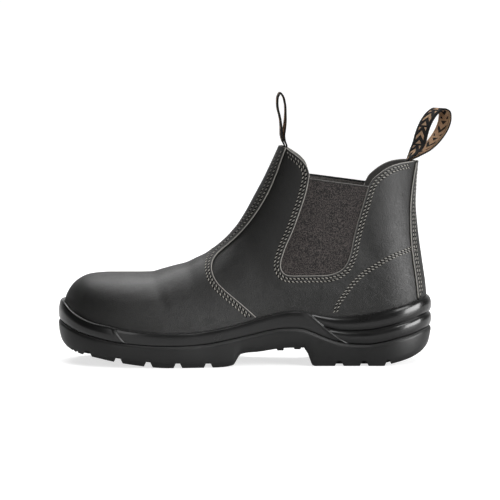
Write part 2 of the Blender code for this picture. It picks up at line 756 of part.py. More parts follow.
def channel(name, first, last, middle, cutters):
    """A groove along the tread at y middle, following its toe spring."""
    x = np.linspace(first, last, 9)
    top = [(a, height(TREAD_BOTTOM, a) + GROOVE_DEPTH - 0.6) for a in x]
    points = [(last, -9.0), (first, -9.0), *top]
    near, far = middle - CHANNEL_WIDTH / 2, middle + CHANNEL_WIDTH / 2
    return helper(name, plate(name, points, near, far), cutters)


def make_outsole(boot, cutters):
    """The tread: a ledge under the cushion layer, upright sides, an arch, a heel block and lugs."""
    x = sole_places()
    rings = [ring(x, INTERFACE_INSET, interface)]
    for inset, below, above in zip(*TREAD_SIDE.values()):
        line, off = (TREAD_TOP, -below) if below >= 0 else (TREAD_BOTTOM, above)
        rings.append(ring(x, inset, lambda x, line=line, off=off: height(line, x) + off))
    outsole = new_object("outsole", loft("outsole", rings), "tread_rubber", boot)
    for k, (at, drop) in enumerate(ARCH_BARS):
        z = float(height(TREAD_BOTTOM, at))
        points = ((at - 3.6, z + 3), (at - 2.6, z - drop), (at + 2.6, z - drop), (at + 3.6, z + 3))
        bar = helper(f"arch_bar_{k}", plate(f"arch_bar_{k}", points, -29, 26), cutters)
        combine(outsole, bar, "UNION")
    for k, (at, mouth, root) in enumerate(zip(*SIDE_GROOVES.values())):
        for side, near, far in (("outer", -75, -GROOVE_REACH), ("inner", GROOVE_REACH, 75)):
            cutter = groove(f"groove_{k}_{side}", at, mouth, root, near, far, cutters)
            combine(outsole, cutter, "DIFFERENCE")
    for k, at in enumerate(CENTRE_GROOVES):
        reach = GROOVE_REACH - CHANNEL_WIDTH - 1
        cutter = groove(f"centre_groove_{k}", at, 7.0, 3.2, -reach, reach, cutters)
        combine(outsole, cutter, "DIFFERENCE")
    for k, (first, last) in enumerate((FORE_CHANNEL, HEEL_CHANNEL)):
        for side in (-1, 1):
            middle = side * (GROOVE_REACH - CHANNEL_WIDTH / 2)
            cutter = channel(f"channel_{k}_{side + 1}", first, last, middle, cutters)
            combine(outsole, cutter, "DIFFERENCE")


def make_insole(boot):
    """The loose sock that the foot stands on, inside the wall."""
    grid, seam = last_grid(WALL[1] + INSOLE_ROOM)
    edge = np.concatenate([grid[seam::-1, 0], grid[1:seam, -1]])
    rings = [edge, edge + (0, 0, INSOLE_THICK)]
    new_object("insole", loft("insole", rings), "insole_cloth", boot)


def make_loop(name, line, boot):
    """A web folded into a pull loop, its two ends side by side inside the collar."""
    points = np.stack([line["x"], line["z"]], axis=1)
    run = np.append(0, np.cumsum(np.hypot(*np.diff(points, axis=0).T)))
    centre = path(points, 3.2)
    turn = np.radians(np.interp(np.linspace(0, run[-1], len(centre)), run, line["turn"]))
    across = np.stack([np.sin(turn), -np.cos(turn), np.zeros(len(turn))], axis=1) * WEB_WIDTH / 2
    place = float(smooth(OUTLINE["x"], OUTLINE["centre"], line["x"][0]))
    middle = np.stack([centre[:, 0], np.full(len(turn), place), centre[:, 1]], axis=1)
    points = np.concatenate([middle + across, middle - across])
    count = len(centre)
    faces = [(i, i + 1, count + i + 1, count + i) for i in range(count - 1)]
    mesh = bpy.data.meshes.new(name)
    mesh.from_pydata((points * MM).tolist(), [], faces)
    web = new_object(name, mesh, "webbing", boot)
    thick = web.modifiers.new("thickness", "SOLIDIFY")
    thick.thickness = WEB_THICK * MM
    thick.offset = 0
    thick.use_even_offset = True


def main():
    for thing in list(bpy.data.objects):
        bpy.data.objects.remove(thing)
    boot = bpy.data.collections.new("side_gore_work_boot")
    cutters = bpy.data.collections.new("cutters")
    for collection in (boot, cutters):
        bpy.context.scene.collection.children.link(collection)
    make_upper(boot, cutters)
    make_gores(boot, cutters)
    make_overlays(boot, cutters)
    make_midsole(boot, cutters)
    make_outsole(boot, cutters)
    make_insole(boot)
    make_loop("pull_loop_front", FRONT_LOOP, boot)
    make_loop("pull_loop_rear", REAR_LOOP, boot)


main()
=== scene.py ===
"""Dresses the side gore work boot: leather panels, stitching, elastic, webbing, rubber and stage.

All tables are in millimetres, in the boot's own frame: +Z is up, the toe points along -X, the outer
side faces -Y, and the origin is on the floor under the heel. The leather is one smooth surface of
the last, moved in by the depth of each layer, then cut along lines drawn from the side.
"""

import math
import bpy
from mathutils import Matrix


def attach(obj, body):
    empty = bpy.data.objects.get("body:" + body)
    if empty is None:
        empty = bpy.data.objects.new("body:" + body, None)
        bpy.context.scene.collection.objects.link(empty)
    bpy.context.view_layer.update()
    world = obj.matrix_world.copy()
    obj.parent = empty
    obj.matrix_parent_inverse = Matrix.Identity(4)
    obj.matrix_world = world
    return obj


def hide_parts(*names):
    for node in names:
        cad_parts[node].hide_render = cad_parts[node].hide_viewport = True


bl_info = {
    "name": "Side Gore Work Boot",
    "version": (1, 0, 0),
    "blender": (4, 5, 0),
    "location": "3D View > Sidebar > Boot",
    "description": "Builds the leather, elastic, webbing and rubber of a side gore work boot",
    "category": "Object",
}

import bmesh
import bpy
import numpy as np
from mathutils import Vector
from mathutils.bvhtree import BVHTree

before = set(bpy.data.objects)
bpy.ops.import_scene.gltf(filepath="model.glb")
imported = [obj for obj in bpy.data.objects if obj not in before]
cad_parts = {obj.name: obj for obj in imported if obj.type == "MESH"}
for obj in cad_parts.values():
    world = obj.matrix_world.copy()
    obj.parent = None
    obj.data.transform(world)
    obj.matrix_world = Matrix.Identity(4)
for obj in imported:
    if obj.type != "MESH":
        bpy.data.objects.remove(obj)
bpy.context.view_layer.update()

MM = 0.001

# The two ends of the tread, and the length and fullness of their round stretches.
TOE_X = -264.4
HEEL_X = 46.3
TOE_ROUND = 72.0
TOE_FULLNESS = 2.3
HEEL_ROUND = 40.0
HEEL_FULLNESS = 2.2

# The front of the last, and how much shorter its round toe is than the tread's.
TOE_FRONT = -259.6
FEATHER_INSET = 4.5

# The gap left between pieces that lie on each other.
GAP = 0.3

# Depths of the layers below the last surface.
OVERLAY = (0.0, 1.2)
WALL = (1.5, 3.7)
GORE = (2.0, 3.2)
HEM = (1.7, 3.5)

# The gore's hem: how far it hangs down, and the radius of its bead and its place down and out.
HEM_DROP = 1.7
HEM_BEAD = 0.42
HEM_BEAD_PLACE = (0.5, 0.8)

# How far the top of the tread lies under the foot, and inside the outline.
BOARD = 4.0
INTERFACE_INSET = 3.5

# The loose insole: its thickness, the room round it, and its round edge as inset and height.
INSOLE_THICK = 4.0
INSOLE_ROOM = 1.5
INSOLE_EDGE = ((0.0, 2.9), (0.3, 3.5), (0.9, 3.9), (1.6, INSOLE_THICK))

# Spacing of the points of a line seen from the side, and the part of a row that slopes are taken over.
LINE_STEP = 1.5
NUDGE = 0.01


def table(columns, rows):
    """A table with named columns, as a dictionary of arrays."""
    values = np.array(rows, float)
    return dict(zip(columns.split(), values.T))


# Outline of the tread from above: half width and the y of its centre line at each x.
OUTLINE = table("x half centre", (
    (-264.4, 52.0, 8.6), (-235.0, 53.5, 6.2), (-212.0, 55.0, 4.2), (-190.0, 55.5, 2.2),
    (-165.0, 53.3, -0.2), (-135.0, 47.5, -2.0), (-105.0, 41.0, -3.0), (-75.0, 37.6, -2.6),
    (-50.0, 37.4, -1.4), (-25.0, 38.0, -0.3), (6.0, 38.5, 0.0), (46.3, 38.5, 0.0),
))

# The board that the foot stands on: its height above the floor along the boot.
FLOOR = table("x z", (
    (-264.4, 35.0), (-258.0, 32.6), (-245.0, 28.0), (-225.0, 23.5), (-205.0, 21.0),
    (-180.0, 20.0), (-155.0, 20.5), (-130.0, 22.5), (-100.0, 25.0), (-70.0, 27.0),
    (-40.0, 27.8), (-10.0, 28.0), (20.0, 28.5), (46.3, 30.0),
))

# Line where the side of the tread meets the cushion layer above it.
TREAD_TOP = table("x z", (
    (-264.4, 35.8), (-259.0, 33.4), (-254.2, 31.0), (-243.7, 27.0), (-231.9, 24.0),
    (-216.0, 20.8), (-200.0, 19.0), (-186.0, 18.0), (-171.0, 17.7), (-154.0, 18.0),
    (-137.0, 19.5), (-122.0, 22.3), (-104.5, 25.9), (-90.0, 29.2), (-75.4, 31.2),
    (-67.0, 31.2), (-59.7, 30.2), (-51.8, 27.3), (-43.9, 23.9), (-33.5, 20.2),
    (-22.0, 17.9), (-8.0, 17.5), (6.0, 19.6), (18.0, 22.8), (30.0, 26.0),
    (38.0, 28.9), (46.3, 31.2),
))

# Top edge of the cushion layer, where the leather disappears behind it.
RIM_TOP = table("x z", (
    (-264.4, 51.6), (-259.6, 51.2), (-256.2, 48.4), (-252.6, 44.9), (-248.3, 42.0),
    (-236.4, 36.8), (-221.4, 33.8), (-207.0, 30.9), (-194.0, 29.6), (-176.0, 28.4),
    (-157.0, 28.3), (-142.7, 29.6), (-125.5, 32.6), (-111.6, 35.8), (-96.3, 40.2),
    (-85.8, 43.0), (-75.4, 45.0), (-64.9, 45.5), (-56.5, 44.6), (-44.0, 41.9),
    (-31.0, 40.3), (-20.2, 41.0), (-10.2, 42.3), (0.7, 44.2), (16.3, 48.0),
    (28.3, 51.5), (36.0, 54.0), (40.5, 55.0), (46.3, 55.2),
))

# Underside of the tread.
TREAD_BOTTOM = table("x z", (
    (-264.4, 22.6), (-261.0, 18.4), (-257.0, 14.8), (-251.0, 11.6), (-242.0, 9.1),
    (-232.0, 7.5), (-215.0, 4.5), (-198.0, 2.2), (-183.0, 0.6), (-172.0, 0.0),
    (-136.0, 0.0), (-118.6, 1.6), (-112.0, 10.6), (-96.3, 12.4), (-84.0, 14.2),
    (-70.0, 15.3), (-60.0, 15.3), (-52.0, 0.0), (4.5, 0.0), (10.5, 1.5),
    (16.7, 3.0), (25.0, 5.4), (33.0, 8.6), (39.0, 12.4), (43.5, 17.0), (46.3, 22.0),
))

# Stations of the cushion layer lean: x at its foot and x at its rim.
LEAN = table("foot rim", (
    (-264.4, -264.4), (-235.0, -238.0), (-206.0, -217.0), (-150.0, -153.0), (-110.0, -120.0),
    (-60.0, -84.0), (-19.3, -55.5), (6.0, -12.0), (30.0, 26.0), (46.3, 46.3),
))
LEAN_CURVE = 0.65
BUMPER_END = -206.0
RIDGE_FOOT = -19.3

# Side of the cushion layer, from foot to rim: how far each height lies inside the outline.
SIDE = table("height bumper band ribs", (
    (0.00, 1.90, 2.40, 2.10), (0.03, 1.20, 2.00, 1.20), (0.08, 0.75, 1.70, 0.55),
    (0.16, 0.52, 1.55, 0.12), (0.26, 0.42, 1.50, 0.00), (0.34, 0.40, 1.50, 0.25),
    (0.40, 0.40, 1.50, 0.80), (0.435, 0.40, 1.50, 1.45), (0.46, 0.40, 1.50, 2.30),
    (0.485, 0.42, 1.50, 2.00), (0.52, 0.46, 1.50, 1.00), (0.58, 0.56, 1.52, 0.35),
    (0.68, 0.80, 1.56, 0.05), (0.78, 1.10, 1.64, 0.15), (0.88, 1.50, 1.85, 0.65),
    (0.95, 2.05, 2.15, 1.45), (0.985, 2.50, 2.50, 2.05), (1.00, 2.90, 2.80, 2.40),
))
SIDE_ROWS = 45
RIB_RECESS = 1.3
RECESS_REACH = 42.0

# Side of the tread: inset from the outline and height, from its top edge or its underside.
TREAD_SIDE = table("inset below_top above_bottom", (
    (2.4, 0.0, -1.0), (1.9, 0.15, -1.0), (1.2, 0.75, -1.0), (0.65, 1.6, -1.0),
    (0.35, 2.6, -1.0), (0.3, 3.6, -1.0), (0.75, -1.0, 5.0), (1.2, -1.0, 3.2),
    (1.9, -1.0, 1.2), (2.5, -1.0, 0.3), (3.0, -1.0, 0.0),
))

# The last, a row for each section from the toe to the collar.
LAST = table("base_x rise crest_x crest_z low mid high radius fullness back", (
    (-258.2, 0, -258.2, 33.3, 47.5, 48.5, 48.5, 42, 2.4, 0.0),
    (-257.6, 0, -259.3, 42.0, 47.6, 48.5, 48.5, 42, 2.4, 0.0),
    (-256.0, 0, -258.8, 51.0, 47.7, 48.5, 48.5, 42, 2.4, 0.0),
    (-252.8, 0, -256.0, 58.5, 48.0, 48.7, 48.7, 42, 2.4, 0.0),
    (-247.5, 0, -250.3, 66.0, 48.4, 49.0, 49.0, 42, 2.4, 0.0),
    (-239.5, 0, -241.0, 71.6, 48.9, 49.3, 49.3, 42, 2.4, 0.0),
    (-228.0, 0, -228.5, 73.7, 49.5, 49.8, 49.6, 43, 2.4, 0.0),
    (-212.0, 0, -212.0, 74.2, 50.5, 50.6, 50.0, 45, 2.35, 0.0),
    (-194.0, 0, -193.5, 74.5, 51.0, 50.8, 49.5, 48, 2.25, 0.0),
    (-176.0, 0, -175.4, 77.8, 50.1, 49.6, 47.5, 53, 2.1, 0.0),
    (-157.0, 0, -156.2, 83.7, 47.4, 46.6, 44.0, 60, 2.0, 0.0),
    (-134.0, 0, -138.5, 92.6, 42.9, 42.4, 40.0, 66, 2.0, 0.0),
    (-104.0, 0, -125.0, 103.3, 36.4, 38.2, 36.5, 70, 2.0, 0.0),
    (-66.0, 0, -115.6, 114.1, 33.0, 36.0, 35.0, 72, 2.0, 0.1),
    (-26.0, 0, -109.3, 123.6, 33.5, 35.8, 34.5, 72, 2.0, 0.3),
    (10.0, 0, -105.3, 130.5, 34.0, 36.0, 34.5, 70, 2.0, 0.6),
    (30.0, 0, -102.8, 135.3, 34.0, 36.0, 34.8, 68, 2.0, 0.8),
    (39.5, 0, -101.0, 138.7, 34.0, 36.0, 35.0, 66, 2.0, 0.9),
    (41.8, 0, -100.0, 140.5, 34.0, 35.9, 35.0, 65, 2.0, 1.0),
    (42.6, 16, -98.3, 143.6, 34.6, 35.8, 35.0, 63, 2.0, 1.0),
    (41.6, 34, -95.5, 148.8, 34.8, 35.6, 35.0, 60, 2.0, 1.0),
    (38.4, 56, -92.3, 155.0, 34.6, 35.6, 35.2, 57, 2.05, 1.0),
    (35.1, 80, -89.3, 161.3, 35.0, 36.2, 35.8, 54, 2.1, 1.0),
    (33.1, 104, -86.6, 167.1, 35.8, 37.0, 36.6, 52, 2.1, 1.0),
    (34.0, 127, -83.3, 174.3, 36.6, 38.0, 37.4, 50, 2.1, 1.0),
    (36.2, 145, -78.0, 186.5, 37.2, 38.8, 38.2, 48, 2.1, 1.0),
))
BACK_ROW = 18
SKIN_SECTIONS = 190
SKIN_SIDE = 46

# How far the back of the heel and shaft is rounded, by height.
BACK_ROUND = table("z radius", (
    (28.0, 36.0), (60.0, 38.0), (100.0, 41.0), (140.0, 45.0), (178.0, 47.0),
))

# Lines seen from the side, the same on both sides of the boot.
COLLAR_FRONT = ((-90.0, 180.0), (-81.3, 180.3), (-79.3, 180.3), (-75.0, 179.0), (-72.5, 177.2),
                (-66.6, 173.2), (-61.5, 168.9), (-57.9, 164.1), (-56.4, 159.8), (-55.7, 156.0))
COLLAR_BACK = ((-6.9, 149.3), (-5.2, 152.6), (0.0, 157.6), (5.8, 161.8), (12.4, 165.0),
               (20.4, 166.9), (26.3, 167.5), (36.0, 167.8), (44.0, 167.8))
GORE_FRONT = ((-55.7, 157.0), (-56.7, 151.0), (-58.6, 142.3), (-61.5, 132.8), (-65.9, 120.3),
              (-70.3, 108.7), (-74.7, 99.0), (-77.5, 91.1), (-79.0, 85.5), (-78.9, 80.6),
              (-77.0, 77.0), (-73.8, 75.2), (-69.5, 74.7))
GORE_BACK = ((-45.2, 74.9), (-38.5, 75.6), (-32.6, 77.6), (-28.2, 80.6), (-25.0, 85.0),
             (-22.6, 91.2), (-19.7, 104.8), (-16.1, 119.5), (-12.5, 131.2), (-9.2, 142.5),
             (-6.9, 150.3))
GORE_TOP = ((-55.3, 154.7), (-7.4, 148.3))
VAMP_EDGE = ((-73.0, 184.0), (-75.0, 179.0), (-79.2, 167.8), (-82.8, 157.6), (-88.1, 144.8),
             (-94.7, 132.6), (-101.5, 122.2), (-109.6, 111.9), (-118.6, 102.7), (-127.4, 95.2),
             (-132.8, 90.0), (-135.5, 85.3), (-136.0, 80.5), (-134.9, 75.5), (-131.8, 69.9),
             (-125.8, 63.7), (-119.0, 58.0), (-108.6, 49.2), (-98.3, 39.7), (-92.0, 33.5))
STAY_EDGE = ((34.0, 172.0), (32.6, 163.9), (30.6, 153.2), (28.9, 141.6), (28.0, 130.8),
             (27.8, 118.4), (28.5, 101.7), (30.6, 83.5), (32.8, 68.5), (34.6, 52.0))
COUNTER_SEAM = ((-35.2, 41.5), (-34.1, 44.9), (-32.3, 50.7), (-27.5, 57.7), (-22.5, 64.7),
                (-12.7, 75.0), (-2.1, 82.0), (10.2, 89.0), (21.7, 93.5), (33.1, 96.8))

# Rows of stitches beside the edge of the back stay, and on both sides of the counter's seam.
STAY_ROWS = (-2.2, -4.0)
COUNTER_ROWS = (-1.15, 1.15)
# Where leather edges and seams stop: heights on the vamp and stay, and x at the two collars.
EDGE_STOPS = {"vamp": 179.2, "back_stay": 167.0, "front": -76.0, "back": 31.0}
SEAM_STOPS = {"vamp": 177.5, "back_stay": 162.5, "front": -75.8, "back": 29.0}
# Where a row turns from the collar into the gore: a height in front, an x at the back, and the
# height that the gore's own row reaches.
GORE_TURN = {"front": 157.5, "back": -5.0, "gore": 156.0}

# Where the solids that trim the leather end, well clear of the boot.
CUT_BEHIND = 60.0
CUT_ABOVE = 240.0
CUT_AHEAD = -120.0

# Grooves between the lugs, seen from the side: middle x, width at the mouth and at the root.
SIDE_GROOVES = table("x mouth root", (
    (-238.4, 7.6, 3.0), (-212.5, 7.2, 3.2), (-187.7, 7.2, 3.2), (-163.4, 7.2, 3.2),
    (-138.6, 7.2, 3.2), (-31.1, 7.6, 2.6), (-10.6, 7.4, 3.2), (9.2, 5.0, 1.8),
))
GROOVE_DEPTH = 4.4
GROOVE_REACH = 19.0
CUT_BELOW = 9.0

# Grooves across the middle of the tread: middle x, width at the mouth and at the root.
CENTRE_GROOVES = (-225.0, -200.0, -175.5, -151.0, -31.1, -10.6)
CENTRE_MOUTH = 7.0
CENTRE_ROOT = 3.2

# Gaps between the small teeth at the toe: middle x, then mouth, root and depth of each.
TOE_TEETH = (-256.6, -253.6, -250.4, -247.0)
TOOTH_GAP = (1.7, 0.5, 1.5)

# Channels along the tread: their width, and the x that they run from and to.
CHANNEL_WIDTH = 3.6
FORE_CHANNEL = (-236.0, -121.0)
HEEL_CHANNEL = (-49.5, 13.0)

# Bars across the arch: middle x and drop, half their width, and the y of their ends.
ARCH_BARS = ((-79.5, 2.6), (-65.4, 2.2))
ARCH_BAR_HALF = 2.6
ARCH_BAR_SIDES = (-29.0, 26.0)
ARCH_CORNERS = (-118.6, -112.0, -60.0, -52.0)

# Centre lines of the pull loops seen from the side, with the turn of the web in degrees.
FRONT_LOOP = table("x z turn", (
    (-83.2, 164.0, 0.0), (-79.6, 172.0, 0.0), (-76.1, 180.0, 0.0),
    (-77.7, 183.6, 2.0), (-78.7, 188.5, 4.0), (-78.8, 193.5, 4.0),
    (-79.1, 198.0, 3.0), (-80.0, 204.0, 2.5), (-81.6, 210.5, 2.5),
    (-82.0, 216.0, 2.5), (-81.5, 220.4, 2.5), (-79.6, 223.4, 2.5),
    (-77.4, 220.8, 2.0), (-75.7, 215.0, 1.5), (-75.2, 206.0, 2.0),
    (-75.5, 199.0, 4.0), (-76.2, 193.0, 5.0), (-76.7, 188.5, 4.5),
    (-75.7, 183.6, 2.0), (-74.2, 180.0, 0.0), (-77.7, 172.0, 0.0),
    (-81.3, 164.0, 0.0),
))
REAR_LOOP = table("x z turn", (
    (25.5, 152.0, 0.0), (25.9, 160.0, 0.0), (26.8, 168.8, 1.0),
    (29.5, 172.2, 12.0), (33.0, 176.4, 28.0), (35.6, 181.4, 33.0),
    (37.3, 188.0, 32.0), (39.6, 195.2, 30.0), (42.8, 201.6, 29.0),
    (47.2, 207.2, 28.0), (52.4, 210.2, 28.0), (56.2, 208.2, 29.0),
    (57.0, 202.4, 31.0), (55.2, 195.2, 32.0), (51.4, 188.2, 31.0),
    (46.2, 181.6, 30.0), (40.2, 176.2, 28.0), (32.5, 171.0, 12.0),
    (28.8, 168.4, 1.0), (27.8, 160.0, 0.0), (27.3, 152.0, 0.0),
))

# The pocket behind the collar for the front loop's ends, seen from the side.
LOOP_POCKET = ((-96.0, 163.4), (-70.0, 163.4), (-70.0, 190.0), (-96.0, 190.0))

# The web of the pull loops, and how far its edges are rounded.
WEB_WIDTH = 18.0
WEB_THICK = 1.4
WEB_ROUND = 0.35

# Stitches: their slant in degrees, and the radii of the painted-shade disc at a needle hole and its
# lift off the leather.
STITCH_SLANT = 26.0
HOLE_RADII = (0.95, 0.7)
HOLE_LIFT = 0.05

# The camera: the width that the photograph shows at the boot, the point looked at and the distance,
# in metres, and the rise above level in degrees.
PHOTO_WIDTH = 0.41555
CAMERA_AIM = (-0.10447, 0.0, 0.09277)
CAMERA_AWAY = 2.6
CAMERA_RISE = 4.8

# Soft lights: name, place and size in metres, and power in watts.
LIGHTS = (
    ("top_light", (-0.30, 0.75, 1.5), 1.5, 0.8, 26.0),
    ("key_light", (2.2, -1.15, 0.60), 2.2, 1.6, 125.0),
    ("fill_light", (0.8, -1.5, 1.9), 1.2, 0.8, 17.0),
    ("side_light", (-1.15, -1.9, 0.75), 0.9, 1.2, 7.0),
    ("wall_light", (0.0, 1.6, 2.6), 4.0, 1.0, 30.0),
)

# The point that the wall's light aims at, and the strength of the light from all sides.
WALL_AIM = (0.0, 3.6, 0.6)
AMBIENT = 0.05

# The floor sheet in metres: its width, the wall behind it and the curve between them.
FLOOR_WIDTH = 12.0
FLOOR_BEND = 1.5
WALL_Y = 4.0
WALL_TOP = 4.0

# Soft creases in the leather: a line seen from the side, its depth (a ridge is below zero), its
# width, and its share of that depth on the inner side.
CREASES = (
    (((-186.0, 79.0), (-182.0, 66.0), (-177.0, 55.0), (-172.0, 46.0)), 0.9, 5.0, 0.9),
    (((-170.0, 82.0), (-166.0, 70.0), (-163.0, 60.0)), -0.45, 5.5, 0.8),
    (((-158.0, 86.0), (-153.5, 72.0), (-152.0, 58.0)), 0.55, 4.5, 1.1),
    (((-143.0, 94.0), (-141.0, 84.0), (-142.0, 70.0)), 0.35, 4.0, 1.2),
    (((-108.0, 104.0), (-98.0, 84.0), (-90.0, 62.0)), 0.9, 11.0, 0.8),
    (((-60.0, 62.0), (-40.0, 60.0), (-22.0, 66.0)), -0.5, 9.0, 1.0),
    (((-14.0, 108.0), (-6.0, 92.0), (6.0, 80.0)), 0.8, 9.0, 0.7),
    (((14.0, 160.0), (10.0, 140.0), (8.0, 120.0)), -0.5, 9.0, 0.6),
)


# Curves and the surface of the last

def smooth(keys, values, at):
    """A smooth curve through a table's values that never swings past them between two rows."""
    at = np.clip(np.asarray(at, float), keys[0], keys[-1])
    step = np.diff(keys)
    rate = np.diff(values) / step
    slope = np.gradient(values, keys)
    turning = np.zeros(len(keys), bool)
    turning[1:-1] = rate[:-1] * rate[1:] <= 0
    slope[turning] = 0
    limit = 3 * np.minimum(np.abs(np.append(rate[0], rate)), np.abs(np.append(rate, rate[-1])))
    slope = np.clip(slope, -limit, limit)
    i = np.clip(np.searchsorted(keys, at, side="right") - 1, 0, len(keys) - 2)
    t = (at - keys[i]) / step[i]
    rise = t * t * (3 - 2 * t)
    start = values[i] + (values[i + 1] - values[i]) * rise
    return start + step[i] * (t * (1 - t) ** 2 * slope[i] - t * t * (1 - t) * slope[i + 1])


def height(line, x):
    """Height in millimetres of a line of the sole at x."""
    return smooth(line["x"], line["z"], x)


def path(points, spacing=LINE_STEP):
    """A smooth polyline through a few points."""
    points = np.array(points, float)
    run = np.append(0, np.cumsum(np.linalg.norm(np.diff(points, axis=0), axis=1)))
    at = np.linspace(0, run[-1], max(2, round(run[-1] / spacing)) + 1)
    slopes = np.gradient(points, run, axis=0)
    i = np.clip(np.searchsorted(run, at, side="right") - 1, 0, len(run) - 2)
    step = (run[i + 1] - run[i])[:, None]
    t = (at - run[i])[:, None] / step
    rise = t * t * (3 - 2 * t)
    bend = t * (1 - t) ** 2 * slopes[i] - t * t * (1 - t) * slopes[i + 1]
    return points[i] + (points[i + 1] - points[i]) * rise + step * bend


def beside(line, distance):
    """A line seen from the side, moved to the right of its own direction by a distance."""
    tangent = np.gradient(line, axis=0)
    tangent /= np.linalg.norm(tangent, axis=1, keepdims=True)
    return line + np.stack([tangent[:, 1], -tangent[:, 0]], axis=1) * distance


def cap(distance, radius, fullness):
    """How far a rounded end has opened: 0 at its tip, and 1 from one radius on."""
    inside = 1 - np.clip(distance / radius, 0, 1)
    return (1 - inside ** fullness) ** (1 / fullness)


def ease(value, start, end):
    """0 before start, 1 after end, and a smooth turn between them."""
    t = np.clip((value - start) / (end - start), 0, 1)
    return t * t * (3 - 2 * t)


def outline(x, inset):
    """Centre line y and half width of the sole at x, with its edge moved in by inset."""
    half = smooth(OUTLINE["x"], OUTLINE["half"], x) - inset
    half = half * cap(x - TOE_X - inset, TOE_ROUND - inset, TOE_FULLNESS)
    half = half * cap(HEEL_X - inset - x, HEEL_ROUND - inset, HEEL_FULLNESS)
    return smooth(OUTLINE["x"], OUTLINE["centre"], x), half


def middle_y(x):
    """The y of the sole's centre line at one x."""
    return float(smooth(OUTLINE["x"], OUTLINE["centre"], x))


def squeeze(x, inset):
    """x moved so that the sole's whole length fits inside an outline that is inset."""
    middle = (TOE_X + HEEL_X) / 2
    return middle + (x - middle) * (1 - 2 * inset / (HEEL_X - TOE_X))


def ring(x, inset, rise):
    """A loop of points round the sole: heel to toe on the outer side, and back on the inner."""
    x = squeeze(x, inset)
    z = rise(x)
    centre, half = outline(x, inset)
    outer = np.stack([x, centre - half, z], axis=1)
    inner = np.stack([x, centre + half, z], axis=1)
    outer[0, 1] = inner[0, 1] = centre[0]
    outer[-1, 1] = inner[-1, 1] = centre[-1]
    return np.concatenate([outer, inner[-2:0:-1]])


def last_points(section, girth):
    """Points of the last surface: [section, girth], from the outer base over the crest to the inner."""
    rows = np.arange(len(LAST["base_x"]), dtype=float)
    row = {name: smooth(rows, values, section)[:, None] for name, values in LAST.items()}
    share = 1 - np.abs(girth)[None, :]
    to_crest = np.sin(share * math.pi / 2)
    to_both = (1 - np.cos(share * math.pi)) / 2
    v = to_crest + (to_both - to_crest) * row["back"]
    base_z = height(FLOOR, row["base_x"]) + GAP + row["rise"]
    x = row["base_x"] + (row["crest_x"] - row["base_x"]) * v
    z = base_z + (row["crest_z"] - base_z) * v
    half = (row["low"] * (1 - v) * (1 - 2 * v) + 4 * row["mid"] * v * (1 - v)
            + row["high"] * v * (2 * v - 1))
    length = np.hypot(row["crest_x"] - row["base_x"], row["crest_z"] - base_z)
    half = half * cap((1 - v) * length, row["radius"], row["fullness"])
    half = half * cap(x - TOE_FRONT, TOE_ROUND - FEATHER_INSET, TOE_FULLNESS)
    seam = rows >= BACK_ROW
    seam_z = height(FLOOR, LAST["base_x"][seam]) + GAP + LAST["rise"][seam]
    back_x = smooth(seam_z, LAST["base_x"][seam], z)
    half = half * cap(back_x - x, smooth(BACK_ROUND["z"], BACK_ROUND["radius"], z), HEEL_FULLNESS)
    half = np.where((section[:, None] >= BACK_ROW) & (share == 0), 0, half)
    half = np.where(section[:, None] == 0, 0, half)
    z = np.where(section[:, None] == 0, base_z, z)
    centre = smooth(OUTLINE["x"], OUTLINE["centre"], x)
    return np.stack([x, centre + np.sign(girth) * half, z], axis=2)


def even_sections():
    """Sections of the last spaced evenly over its surface, one of them at the foot of the back seam."""
    fine = np.linspace(0, len(LAST["base_x"]) - 1, 1500)
    steps = np.diff(last_points(fine, np.array([-0.9, -0.5, 0.0])), axis=0)
    run = np.append(0, np.cumsum(np.linalg.norm(steps, axis=2).max(axis=1)))
    section = np.interp(np.linspace(0, run[-1], SKIN_SECTIONS), run, fine)
    section[np.abs(section - BACK_ROW).argmin()] = BACK_ROW
    return section


def crease_depth(points, scale):
    """How far the creases press each point of the leather in."""
    side = points[..., (0, 2)]
    depth = np.zeros(points.shape[:-1])
    for line, deep, width, inner in CREASES:
        line = path(line, 2.0)
        away = np.linalg.norm(side[..., None, :] - line, axis=-1)
        nearest = away.argmin(axis=-1)
        along = nearest / (len(line) - 1)
        strength = np.sin(np.clip(along * 0.86 + 0.14, 0, 1) * math.pi) ** 0.7
        strength = strength * np.where(points[..., 1] > 0, inner, 1.0)
        depth += deep * scale * strength * np.exp(-(away.min(axis=-1) / width) ** 2)
    return depth


class Skin:
    """The last surface moved in by a depth, with rays that find its points from the side."""

    section = None
    girth = None
    points = None
    normals = None
    seam = 0

    @classmethod
    def prepare(cls, crease_scale):
        cls.section = even_sections()
        cls.girth = np.linspace(-1, 1, 2 * SKIN_SIDE + 1)
        cls.seam = int(np.argmax(cls.section >= BACK_ROW))
        section, girth, seam = cls.section, cls.girth, cls.seam
        near = np.clip(girth - NUDGE, -1, 1), np.clip(girth + NUDGE, -1, 1)
        before = np.clip(section - NUDGE, 0.01, section[-1])
        after = np.clip(section + NUDGE, 0.02, section[-1])
        across = last_points(section, near[1]) - last_points(section, near[0])
        along = last_points(after, girth) - last_points(before, girth)
        normal = np.cross(along, across)
        normal[0] = (-1, 0, 0)
        for edge in (0, -1):
            normal[:seam, edge, 2] = 0
            up = along[seam:, edge]
            normal[seam:, edge] = np.stack([up[:, 2], 0 * up[:, 0], -up[:, 0]], axis=1)
            normal[seam, edge] = (1, 0, 0)
        cls.normals = normal / np.linalg.norm(normal, axis=2, keepdims=True)
        points = last_points(section, girth)
        cls.points = points - cls.normals * crease_depth(points, crease_scale)[..., None]

    @classmethod
    def at(cls, depth):
        return cls.points - cls.normals * depth

    def __init__(self, depth):
        self.grid = self.at(depth)
        faces = skin_faces(len(self.section), len(self.girth))
        self.tree = BVHTree.FromPolygons(self.grid.reshape(-1, 3).tolist(), faces)

    def from_side(self, line, side):
        """Points and normals where rays from one side (-1 outer, 1 inner) meet the surface."""
        return cast(self.tree, line, side)


